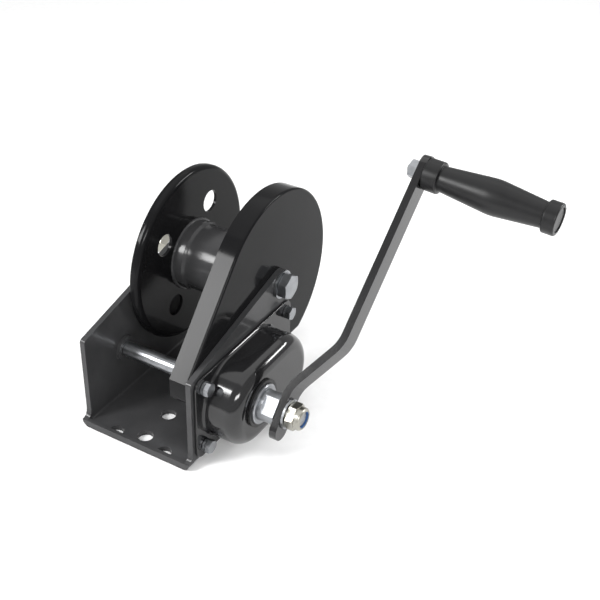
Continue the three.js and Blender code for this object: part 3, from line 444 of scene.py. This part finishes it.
EDGE_ROUND = {"frame": 0.8, "gear_guard": 0.4, "crank_arm": 0.7, "cover_collar": 0.35}
slot_of = {part["node"]: part["material_slot"] for part in record["subparts"]}
for node, slot in slot_of.items():
    solid = dress(node, EDGE_ROUND.get(node, DEFAULT_ROUND))
    solid.data.materials.clear()
    solid.data.materials.append(COVER_COAT if node == "crank_arm" else FINISH_OF_SLOT[slot])
print(len(slot_of), "solids dressed")

# %% [markdown]
# ## Helpers for finer pieces
#
# The finer pieces are built from lists of points. This helper takes them in millimetres, makes the mesh
# and turns all its faces outwards, because the shader and the booleans both need to know which side is
# out.

# %% Mesh from points
def mesh_piece(name, points, faces):
    mesh = bpy.data.meshes.new(name)
    mesh.from_pydata([Vector(point) * MM for point in points], [], faces)
    mesh.update()
    form = bmesh.new()
    form.from_mesh(mesh)
    bmesh.ops.recalc_face_normals(form, faces=form.faces)
    form.to_mesh(mesh)
    form.free()
    piece = bpy.data.objects.new(name, mesh)
    bpy.context.scene.collection.objects.link(piece)
    return piece


print("points are given in millimetres, each", MM, "m")

# %% [markdown]
# ## Turning
#
# A lathe makes the round pieces of a winch. The profile is a list of [x, radius] points, and copies of it
# are spun about an axle that runs along X. Points that fall together on the axis are merged afterwards. A
# rod, the tool that drills every hole, is the simplest profile of all.

# %% Turning a profile
MERGE_WITHIN = 1e-6


def turn(name, profile, middle=(0, 0), steps=96):
    """Spins [x, radius] points about X. A profile that starts and ends on the axis makes a rod."""
    points, faces = [], []
    for step in range(steps):
        angle = 2 * math.pi * step / steps
        for x, radius in profile:
            points.append((x, middle[0] + radius * math.cos(angle), middle[1] + radius * math.sin(angle)))
    count = len(profile)
    for step in range(steps):
        here, there = step * count, ((step + 1) % steps) * count
        for index in range(count):
            after = (index + 1) % count
            if profile[index][1] == 0 and profile[after][1] == 0:
                continue
            faces.append((here + index, here + after, there + after, there + index))
    piece = mesh_piece(name, points, faces)
    form = bmesh.new()
    form.from_mesh(piece.data)
    bmesh.ops.remove_doubles(form, verts=form.verts, dist=MERGE_WITHIN)
    bmesh.ops.recalc_face_normals(form, faces=form.faces)
    form.to_mesh(piece.data)
    form.free()
    return piece


def rod(y, z, x0, x1, radius, steps=48):
    return turn("tool", [(x0, 0), (x0, radius), (x1, radius), (x1, 0)], (y, z), steps)


print("a turned piece has 96 sides, one every", 360 / 96, "degrees")

# %% [markdown]
# ## Cutting out
#
# A press cuts sheet to an outline. The outline is drawn in Y and Z and extruded along X, and the rim of
# its outer face can be rounded, as the press does when it pushes the sheet through.

# %% Cutting out an outline
def cut_out(name, outline, x0, x1, rim_round=0, rim_steps=4):
    """Extrudes (y, z) points along X. rim_round rounds the edge of the face at x1."""
    count = len(outline)
    points = [(x, y, z) for x in (x0, x1) for y, z in outline]
    faces = [tuple(range(count)), tuple(range(2 * count - 1, count - 1, -1))]
    for index in range(count):
        after = (index + 1) % count
        faces.append((index, after, count + after, count + index))
    piece = mesh_piece(name, points, faces)
    if rim_round:
        form = bmesh.new()
        form.from_mesh(piece.data)
        rim = [e for e in form.edges if all(abs(v.co.x - x1 * MM) < 1e-7 for v in e.verts)]
        bmesh.ops.bevel(
            form, geom=rim, offset=rim_round * MM, segments=rim_steps, profile=0.5, affect="EDGES"
        )
        form.to_mesh(piece.data)
        form.free()
    return piece


def arc(centre, radius, start, end, steps):
    """Points on an arc in degrees, both ends included."""
    angles = [math.radians(start + (end - start) * step / steps) for step in range(steps + 1)]
    return [(centre[0] + radius * math.cos(a), centre[1] + radius * math.sin(a)) for a in angles]


print("a quarter arc in 8 steps has", len(arc((0, 0), 1, 0, 90, 8)), "points")

# %% [markdown]
# ## Drilling, joining and finishing
#
# Drilling and trimming are exact booleans, settled into the mesh at once. A finished piece gets its
# shading and its finish, rides on the body it belongs to, and hides the solids it stands for.

# %% Drilling, joining and finishing
def combine(piece, tools, operation="DIFFERENCE"):
    for tool in tools:
        step = piece.modifiers.new("cut", "BOOLEAN")
        step.operation = operation
        step.solver = "EXACT"
        step.object = tool
    settled = piece.evaluated_get(bpy.context.evaluated_depsgraph_get())
    piece.modifiers.clear()
    piece.data = bpy.data.meshes.new_from_object(settled)
    for tool in tools:
        bpy.data.objects.remove(tool)
    return piece


def finish_piece(piece, body, finish, stands_for, edge_mm=0):
    if edge_mm:
        round_edges(piece, edge_mm, 3)
    shade(piece)
    piece.data.materials.clear()
    piece.data.materials.append(finish)
    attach(piece, body)
    if stands_for:
        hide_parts(*stands_for)
    print(piece.name, "has", len(piece.data.polygons), "faces")


# %% [markdown]
# ## Drum flange
#
# The open flange is a pressed disc whose rim is rolled back towards the side plate, so a rope never meets a
# sharp edge. The section is drawn once: flat web, a round shoulder, the short lip and its own thickness on
# the way back. Spinning it gives the disc, and four rods drill the holes that take the rope's end.

# %% Drum flange
WEB = 2.5
RIM_ROUND = 4.5
BUSH_LIP = 2.7
HOLE_RADIUS = 9.3
flange_face = high("drum_flange_left", "x")
flange_lip = low("drum_flange_left", "x")
flange_radius = (high("drum_flange_left", "y") - low("drum_flange_left", "y")) / 2
flange_radius = max(flange_radius, high("drum_flange_left", "z") - axle_z)
flange_bore = (high("drum_bush_left", "z") - low("drum_bush_left", "z")) / 2 - BUSH_LIP

outer_shoulder = arc((flange_face - RIM_ROUND, flange_radius - RIM_ROUND), RIM_ROUND, 90, 0, 10)
inner_shoulder = arc((flange_face - RIM_ROUND, flange_radius - RIM_ROUND), RIM_ROUND - WEB, 0, 90, 6)
lip_round = arc((flange_lip + WEB / 2, flange_radius - WEB / 2), WEB / 2, 270, 90, 8)
section = lip_round + outer_shoulder + [(flange_face, flange_bore), (flange_face - WEB, flange_bore)]
section += inner_shoulder
drum_flange = turn("drum_flange_pressed", section, (axle_y, axle_z), 160)

drills = []
for opening in record["physics"]["openings"]:
    if opening["name"].startswith("rope_hole"):
        y, z = [sum(corner[axis] for corner in opening["box_m"]) / 2 / MM for axis in (1, 2)]
        drills.append(rod(y, z, flange_lip - 2, flange_face + 2, HOLE_RADIUS))
print(len(drills), "rope holes drilled")
combine(drum_flange, drills)
finish_piece(drum_flange, "drum", GUARD_COAT, ["drum_flange_left"], 0.5)

# %% [markdown]
# ## Drum core
#
# The core is a tube swaged wider at its left end, where a bead of weld joins it to the flange. The bead is a
# small round hump in the section with a gentle ripple round the drum, as a hand weld has.

# %% Drum core
SWAGE_LENGTH = 9
SWAGE_RISE = 1.5
CORE_SHEET = 2.5
BEAD = 1.6
RIPPLES = 46
RIPPLE_SHARE = 0.006
core_left = low("drum_core", "x")
core_right = high("drum_core", "x")
swage_radius = (high("drum_core", "z") - low("drum_core", "z")) / 2
core_radius = swage_radius - SWAGE_RISE
core_bore = core_radius - CORE_SHEET
swage_end = core_left + SWAGE_LENGTH
bead = arc((core_left, swage_radius), BEAD, 90, 0, 6)
core_section = [(core_left - 0.3, core_bore), (core_left - 0.3, swage_radius + BEAD * 0.98)]
# below the weld the swage runs level, then steps down to the tube in short slopes
core_section += bead + [
    (swage_end - 0.6, swage_radius),
    (swage_end, swage_radius - 0.25),
    (swage_end + 1.4, core_radius + 0.2),
    (swage_end + 2.4, core_radius),
    (core_right, core_radius),
    (core_right, core_bore),
]
drum_core = turn("drum_core_tube", core_section, (axle_y, axle_z), 144)
for vertex in drum_core.data.vertices:
    y = vertex.co.y - axle_y * MM
    z = vertex.co.z - axle_z * MM
    radius = math.hypot(y, z)
    if radius > (swage_radius + 0.2) * MM:
        ripple = 1 + RIPPLE_SHARE * math.sin(RIPPLES * math.atan2(z, y))
        vertex.co.y = axle_y * MM + y * ripple
        vertex.co.z = axle_z * MM + z * ripple
finish_piece(drum_core, "drum", FRAME_COAT, ["drum_core"])

# %% [markdown]
# ## Gear guard
#
# The guard is a shallow pan pressed from 2 mm sheet. A press can't make a sharp corner: the face turns into
# the rim over a round of about 2 mm, and that round is the bright line one sees. The outline is a circle
# round the drum gear, a straight run down to a front corner, and a short drop. The same outline, drawn
# one sheet thickness inside, hollows the pan.

# %% Gear guard
GUARD_SHEET = 2
GUARD_ROUND = 2
GUARD_CORNER_Z = 75
GUARD_DROP = 15
GUARD_FOOT_SETBACK = 27
GUARD_TAIL = -60
AXLE_HOLE = 6.3
SHAFT_HOLE = 9.3
BOLT_HOLE = 3.3
guard_outer = high("gear_guard", "x")
guard_rim = low("gear_guard", "x")
guard_radius = high("gear_guard", "z") - axle_z
guard_front = low("gear_guard", "y")
guard_drop_z = GUARD_CORNER_Z - GUARD_DROP
guard_low = low("gear_guard", "z")


def touch_from(point, centre, radius):
    """Where the upper tangent from a point meets a circle, as an angle in degrees about its centre."""
    across, up = centre[0] - point[0], centre[1] - point[1]
    slope = math.atan2(up, across) + math.asin(radius / math.hypot(across, up))
    return math.degrees(slope) + 90


def guard_outline(inset):
    middle = (axle_y, axle_z)
    radius = guard_radius - inset
    touch = touch_from((guard_front, GUARD_CORNER_Z), middle, guard_radius)
    slope = math.radians(touch - 90)
    drop = inset * (1 / math.cos(slope) - math.tan(slope))
    corner = (guard_front + inset, GUARD_CORNER_Z - drop)
    touch = touch_from(corner, middle, radius)
    around = arc(middle, radius, GUARD_TAIL, touch, 72)
    if inset == 0:
        bottom = [(corner[0], guard_drop_z), (shaft_y - GUARD_FOOT_SETBACK, guard_low)]
    else:
        bottom = [(corner[0], 0), (around[0][0], 0)]
    return bottom + around + [corner]


print("guard outline has", len(guard_outline(0)), "points")

# %% [markdown]
# The pan is the outline cut out with a rounded rim, less the hollow and three drilled holes: one for the
# axle bolt, one round the crank's shaft and one at the guard's own nut. The hollow runs on below the foot,
# so the pan is open there.

# %% Pressing and drilling the guard
guard = cut_out("gear_guard_pan", guard_outline(0), guard_rim, guard_outer, GUARD_ROUND, 6)
hollow = cut_out("hollow", guard_outline(GUARD_SHEET), guard_rim - 5, guard_outer - GUARD_SHEET)
bolt_y, bolt_z = [(low("guard_nut", axis) + high("guard_nut", axis)) / 2 for axis in "yz"]
combine(
    guard,
    [
        hollow,
        rod(axle_y, axle_z, guard_rim, guard_outer + 1, AXLE_HOLE),
        rod(shaft_y, shaft_z, guard_rim, guard_outer + 1, SHAFT_HOLE),
        rod(bolt_y, bolt_z, guard_rim, guard_outer + 1, BOLT_HOLE),
    ],
)
finish_piece(guard, "structure", GUARD_COAT, ["gear_guard"], 0.35)

# %% [markdown]
# ## Brake cover
#
# The cover is drawn from one sheet: a flat flange with a deep oval dome. Its section runs from the flange
# through a small fillet, up the wall and over a large round onto the face. Sweeping that section round the
# oval means taking the two ends as half circles and sliding them apart, so each ring is the same
# oval at another distance from its middle line.

# %% Brake cover
COVER_SHEET = 2
DOME_RADIUS = 34.5
DOME_LENGTH = 39
DOME_HEIGHT = 43.5
DOME_ROUND = 11
ROOT_FILLET = 3
FOOT_RISE = 0.4
PLATE_CORNER = 8
PLATE_ROUND = 0.6
COLLAR_PLAY = 0.3
cover_left = low("brake_cover", "x")
cover_face = high("brake_cover", "x")
cover_front, cover_rear = low("brake_cover", "y"), high("brake_cover", "y")
cover_bottom, cover_top = low("brake_cover", "z"), high("brake_cover", "z")


def oval(distance, steps=36):
    front = arc((shaft_y, DOME_HEIGHT), distance, 90, 270, steps)
    rear = arc((shaft_y + DOME_LENGTH, DOME_HEIGHT), distance, -90, 90, steps)
    return front + rear


def dome(name, inset, start_x, foot):
    wall = DOME_RADIUS - inset
    face = cover_face - inset
    rounding = DOME_ROUND - inset
    if foot:
        base = start_x + FOOT_RISE
        section = [(start_x, wall + foot)]
        section += [(base + foot - b, wall + foot - a) for a, b in arc((0, 0), foot, 90, 0, 6)]
    else:
        section = [(start_x, wall)]
    section += arc((face - rounding, wall - rounding), rounding, 90, 0, 10)
    rings = [[(x, y, z) for y, z in oval(distance)] for x, distance in section]
    points = [point for ring in rings for point in ring]
    count = len(rings[0])
    faces = [tuple(range(count))]
    faces.append(tuple((len(rings) - 1) * count + index for index in reversed(range(count))))
    for ring in range(len(rings) - 1):
        for index in range(count):
            after = (index + 1) % count
            a, b = ring * count + index, ring * count + after
            faces.append((a, b, b + count, a + count))
    return mesh_piece(name, points, faces)


print("one ring of the dome has", len(oval(DOME_RADIUS)), "points")

# %% [markdown]
# The flange under the dome is a rounded plate. Dome and plate are joined, trimmed to the plate's outline,
# and hollowed by the same dome drawn one sheet smaller. Then come the collar's seat and four bolt holes.

# %% Plate, hollow and bolt holes
def rounded_plate():
    corner = PLATE_CORNER
    outline = arc((cover_rear - corner, cover_bottom + corner), corner, -90, 0, 8)
    outline += arc((cover_rear - corner, cover_top - corner), corner, 0, 90, 8)
    outline += arc((cover_front + corner, cover_top - corner), corner, 90, 180, 8)
    outline += arc((cover_front + corner, cover_bottom + corner), corner, 180, 270, 8)
    return outline


plate_top = cover_left + COVER_SHEET
cover = cut_out("brake_cover_drawn", rounded_plate(), cover_left, plate_top, PLATE_ROUND, 3)
combine(cover, [dome("dome", 0, cover_left + 1, ROOT_FILLET)], "UNION")
keep = cut_out("keep", rounded_plate(), cover_left - 1, cover_face + 1)
combine(cover, [keep], "INTERSECT")
collar_radius = (high("cover_collar", "z") - low("cover_collar", "z")) / 2
bolt_names = [f"cover_bolt_{end}_{level}" for end in ("front", "rear") for level in ("top", "bottom")]
bolt_places = [[(low(name, axis) + high(name, axis)) / 2 for axis in "yz"] for name in bolt_names]
tools = [dome("inside", COVER_SHEET, cover_left - 3, 0)]
tools.append(rod(shaft_y, shaft_z, cover_face - 5, cover_face + 2, collar_radius + COLLAR_PLAY, 72))
tools += [rod(y, z, cover_left - 1, cover_left + 8, BOLT_HOLE, 24) for y, z in bolt_places]
combine(cover, tools)
finish_piece(cover, "structure", COVER_COAT, ["brake_cover"])

# %% [markdown]
# ## Grip
#
# The grip is one moulding that spins on its bolt: a collar at each end, a narrow neck and a belly that
# fills the palm. It is turned about X first, where the numbers are easy, and then swung onto the axis of
# the grip's own joint. Straight runs that meet in soft bends give it the two long cones of the real one.

# %% Grip
GRIP_START = 0.3
GRIP_LENGTH = 106
COLLAR_RADIUS = 12.5
COLLAR_LENGTH = 12.5
NECK_RADIUS = 10
BELLY_RADIUS = 14
BELLY_AT = 56
GRIP_BORE = 4.3
PLUG_RADIUS = 9.6
PLUG_DEPTH = 12
COLLAR_ROUND = 1.2
END_ROUND = 1.4
NECK_FILLET = 0.9
BELLY_BEND = 5


def soft_bend(before, corner, after, length, steps):
    """A corner of a profile, rounded over a length on each side."""
    here = Vector(corner)
    start = here + (Vector(before) - here).normalized() * length
    end = here + (Vector(after) - here).normalized() * length
    ways = [step / steps for step in range(steps + 1)]
    return [tuple((1 - t) ** 2 * start + 2 * t * (1 - t) * here + t * t * end) for t in ways]


print("the belly is", BELLY_RADIUS * 2, "mm across")

# %% [markdown]
# The profile runs from the left collar down to the neck, over the belly and up to the right collar. Every
# corner a hand would feel is rounded.

# %% Turning the grip and swinging it into place
left_neck = (GRIP_START + COLLAR_LENGTH + 1.2, NECK_RADIUS)
right_neck = (GRIP_START + GRIP_LENGTH - COLLAR_LENGTH + 1, NECK_RADIUS)
belly = (BELLY_AT, BELLY_RADIUS)
end_x = GRIP_START + GRIP_LENGTH
right_collar = end_x - COLLAR_LENGTH + 2.2
round_at = COLLAR_RADIUS - COLLAR_ROUND
grip_profile = [(GRIP_START, GRIP_BORE), (GRIP_START, round_at)]
grip_profile += arc((GRIP_START + COLLAR_ROUND, round_at), COLLAR_ROUND, 180, 90, 4)[1:]
grip_profile += arc((COLLAR_LENGTH - 1.0, round_at), COLLAR_ROUND, 90, 0, 4)
grip_profile += [(COLLAR_LENGTH + 0.3, NECK_RADIUS + 0.5)]
grip_profile += soft_bend((COLLAR_LENGTH, NECK_RADIUS), left_neck, belly, NECK_FILLET, 3)
grip_profile += soft_bend(left_neck, belly, right_neck, BELLY_BEND, 8)
grip_profile += soft_bend(belly, right_neck, (right_collar + 1, NECK_RADIUS), NECK_FILLET, 3)
grip_profile += [(right_collar - 0.1, NECK_RADIUS + 0.5)]
grip_profile += arc((right_collar + COLLAR_ROUND, round_at), COLLAR_ROUND, 180, 90, 4)
grip_profile += arc((end_x - END_ROUND, COLLAR_RADIUS - END_ROUND), END_ROUND, 90, 0, 5)
grip_profile += [(end_x, PLUG_RADIUS), (end_x - PLUG_DEPTH, PLUG_RADIUS), (end_x - PLUG_DEPTH, GRIP_BORE)]
grip = turn("grip_moulding", grip_profile, steps=96)
grip_turn = Vector((1, 0, 0)).rotation_difference(grip_axis).to_matrix().to_4x4()
grip.data.transform(Matrix.Translation(grip_place * MM) @ grip_turn)
finish_piece(grip, "grip", MOULDED_RUBBER, ["grip"])

# %% [markdown]
# ## The locking nut on the crank
#
# A locking nut is a hexagon with its corners turned off, a round collar above it, and a nylon ring that
# the collar is rolled over. The hexagon is cut out, then trimmed by a turned barrel, which leaves the
# curved scallops on each flat that one sees on any nut.

# %% The locking nut's hexagon
CHAMFER_SHARE = 0.075
CHAMFER_TILT = 0.58
CORNER_PLAY = 0.02


def hex_block(name, x0, x1, across_flats, middle):
    corner = across_flats / math.sqrt(3)
    slope = across_flats * CHAMFER_SHARE
    block = cut_out(name, arc(middle, corner, 30, 330, 5), x0, x1)
    reach = corner + CORNER_PLAY
    barrel = [(x0, 0), (x0, reach - slope), (x0 + slope * CHAMFER_TILT, reach)]
    barrel += [(x1 - slope * CHAMFER_TILT, reach), (x1, reach - slope), (x1, 0)]
    return combine(block, [turn("barrel", barrel, middle, 72)], "INTERSECT")


nut_left, nut_right = low("crank_nut", "x"), high("crank_nut", "x")
HEX_SHARE = 0.6
M12_FLATS = 19
NUT_BORE = 6.3
DOME_LIP = 2.2
NYLON_DEPTH = 2.6
NUT_TURN = 18
hex_right = nut_left + (nut_right - nut_left) * HEX_SHARE
crank_nut = hex_block("crank_lock_nut", nut_left, hex_right, M12_FLATS, (shaft_y, shaft_z))
dome_radius = M12_FLATS / 2 - 0.3
lip_radius = dome_radius - DOME_LIP
collar_profile = [(nut_left + 1, 0), (nut_left + 1, dome_radius)]
collar_profile += arc((nut_right - DOME_LIP, lip_radius), DOME_LIP, 90, 0, 7)
collar_profile += [(nut_right, lip_radius - 0.3), (nut_right - 0.5, lip_radius - 0.4), (nut_right - 0.5, 0)]
combine(crank_nut, [turn("collar", collar_profile, (shaft_y, shaft_z), 72)], "UNION")
nut_bore = rod(shaft_y, shaft_z, nut_left - 1, nut_right + 1, NUT_BORE)
nut_pocket = rod(shaft_y, shaft_z, nut_right - NYLON_DEPTH, nut_right + 1, M12_FLATS / 2 - 2.9)
combine(crank_nut, [nut_bore, nut_pocket])
crank_nut.data.transform(
    Matrix.Translation(Vector((0, shaft_y, shaft_z)) * MM)
    @ Matrix.Rotation(math.radians(NUT_TURN), 4, "X")
    @ Matrix.Translation(Vector((0, -shaft_y, -shaft_z)) * MM)
)
finish_piece(crank_nut, "drive", YELLOW_ZINC, ["crank_nut"], 0.15)

# %% [markdown]
# ## Floor
#
# The machine stands on a sheet of pale matt paper, far wider than it needs, so that its gloss has
# something pale to mirror on every side. The paper lies a hair below the base, so the two never share a
# plane.

# %% Floor
FLOOR_HALF = 4000
FLOOR_GAP = 0.2
FIBRE_SIZE = 9


def paper(name, dark, light):
    sheet = new_finish(name)
    place = add_node(sheet, "ShaderNodeTexCoord").outputs["Object"]
    fibres = add_node(
        sheet, "ShaderNodeTexNoise", {"Vector": place, "Scale": 1 / (FIBRE_SIZE * MM), "Detail": 3.0}
    ).outputs["Fac"]
    tint = add_node(
        sheet, "ShaderNodeValToRGB", {"Fac": fibres}, stops=[(DARK_STOP, dark), (LIGHT_STOP, light)]
    )
    shader = add_node(
        sheet, "ShaderNodeBsdfPrincipled", {"Base Color": tint.outputs["Color"], "Roughness": 0.9}
    )
    add_node(sheet, "ShaderNodeOutputMaterial", {"Surface": shader.outputs["BSDF"]})
    return sheet


floor_corners = [(-FLOOR_HALF, -FLOOR_HALF), (FLOOR_HALF, -FLOOR_HALF), (FLOOR_HALF, FLOOR_HALF)]
floor_corners.append((-FLOOR_HALF, FLOOR_HALF))
floor = mesh_piece("floor", [(x, y, -FLOOR_GAP) for x, y in floor_corners], [(0, 1, 2, 3)])
floor.data.materials.append(paper("seamless_paper", "#f4f4f4", "#f8f8f8"))
floor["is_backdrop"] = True
print("floor is", 2 * FLOOR_HALF * MM, "m wide")

# %% [markdown]
# ## Light
#
# A gloss black machine shows mostly what surrounds it. A pale sky fills it softly, and a large soft box
# overhead keeps the floor bright. The rest are smaller and placed by reflection: one in front on the drum's
# side lights the guard's flat rim and the narrow edges of the arm, one in front on the crank's side leaves
# a small spark on the cover, and a narrow one behind draws a bright line along its rolled edge.

# %% Sky and soft boxes
WORLD_LIGHT = 0.6
world = bpy.data.worlds.new("studio")
bpy.context.scene.world = world
world.use_nodes = True
world.node_tree.nodes["Background"].inputs["Color"].default_value = (1.0, 1.0, 1.0, 1.0)
world.node_tree.nodes["Background"].inputs["Strength"].default_value = WORLD_LIGHT


def soft_box(name, place, aim, width, height, watts):
    lamp = bpy.data.lights.new(name, "AREA")
    lamp.shape = "RECTANGLE"
    lamp.size, lamp.size_y = width, height
    lamp.energy = watts
    box = bpy.data.objects.new(name, lamp)
    box.location = place
    box.rotation_euler = (Vector(aim) - Vector(place)).to_track_quat("-Z", "Y").to_euler()
    bpy.context.scene.collection.objects.link(box)
    box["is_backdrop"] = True
    print(name, "stands", round(Vector(place).length, 2), "m away at", watts, "W")


COVER_SIDE = (0.06, 0.0, 0.08)
soft_box("rim_box", (-0.51, -0.72, 0.7), aim=(0.04, -0.03, 0.11), width=0.26, height=0.36, watts=9.5)
soft_box("top_box", (0.1, 0.5, 1.9), aim=(0.1, 0.15, 0.0), width=2.4, height=2.4, watts=17)
soft_box("front_box", (0.72, -0.78, 0.72), aim=COVER_SIDE, width=0.5, height=0.2, watts=7)
soft_box("edge_box", (0.72, 0.75, 0.54), aim=COVER_SIDE, width=0.4, height=0.12, watts=5)

# %% [markdown]
# ## Camera
#
# The camera stands in front, to the crank's side and above, close enough for a little perspective. Its
# direction is given as a turn to the side, a height and a small roll, and the three make its axes.

# %% Camera
CAMERA_PLACE = Vector((0.41248, -0.55214, 0.56575))
AZIMUTH = math.radians(29.29)
ELEVATION = math.radians(34.16)
ROLL = math.radians(1.98)
FOCAL_LENGTH = 63.81
SENSOR_WIDTH = 36
NEAREST_SEEN = 0.01
reach = math.cos(ELEVATION)
backward = Vector((math.sin(AZIMUTH) * reach, -math.cos(AZIMUTH) * reach, math.sin(ELEVATION)))
level = Vector((math.cos(AZIMUTH), math.sin(AZIMUTH), 0))
upward = backward.cross(level)
sideways = math.cos(ROLL) * level + math.sin(ROLL) * upward
upward = -math.sin(ROLL) * level + math.cos(ROLL) * upward
camera = bpy.data.objects.new("camera", bpy.data.cameras.new("camera"))
axes = Matrix((sideways, upward, backward)).transposed().to_4x4()
camera.matrix_world = Matrix.Translation(CAMERA_PLACE) @ axes
camera.data.lens = FOCAL_LENGTH
camera.data.sensor_width = SENSOR_WIDTH
camera.data.clip_start = NEAREST_SEEN
bpy.context.scene.collection.objects.link(camera)
bpy.context.scene.camera = camera
bpy.context.scene.view_settings.view_transform = "Standard"
print("camera stands", round(CAMERA_PLACE.length, 2), "m from the base")

# %% [markdown]
# ## Size against the machine
#
# The finer pieces are meant to stay inside the machine's own size, so the largest gap between the two boxes
# is printed.

# %% Sizes, and the end
visual_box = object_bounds()
gaps = [abs(a - b) for old, new in zip(cad_box, visual_box) for a, b in zip(old, new)]
print("largest difference in mm:", round(max(gaps) / MM, 2))
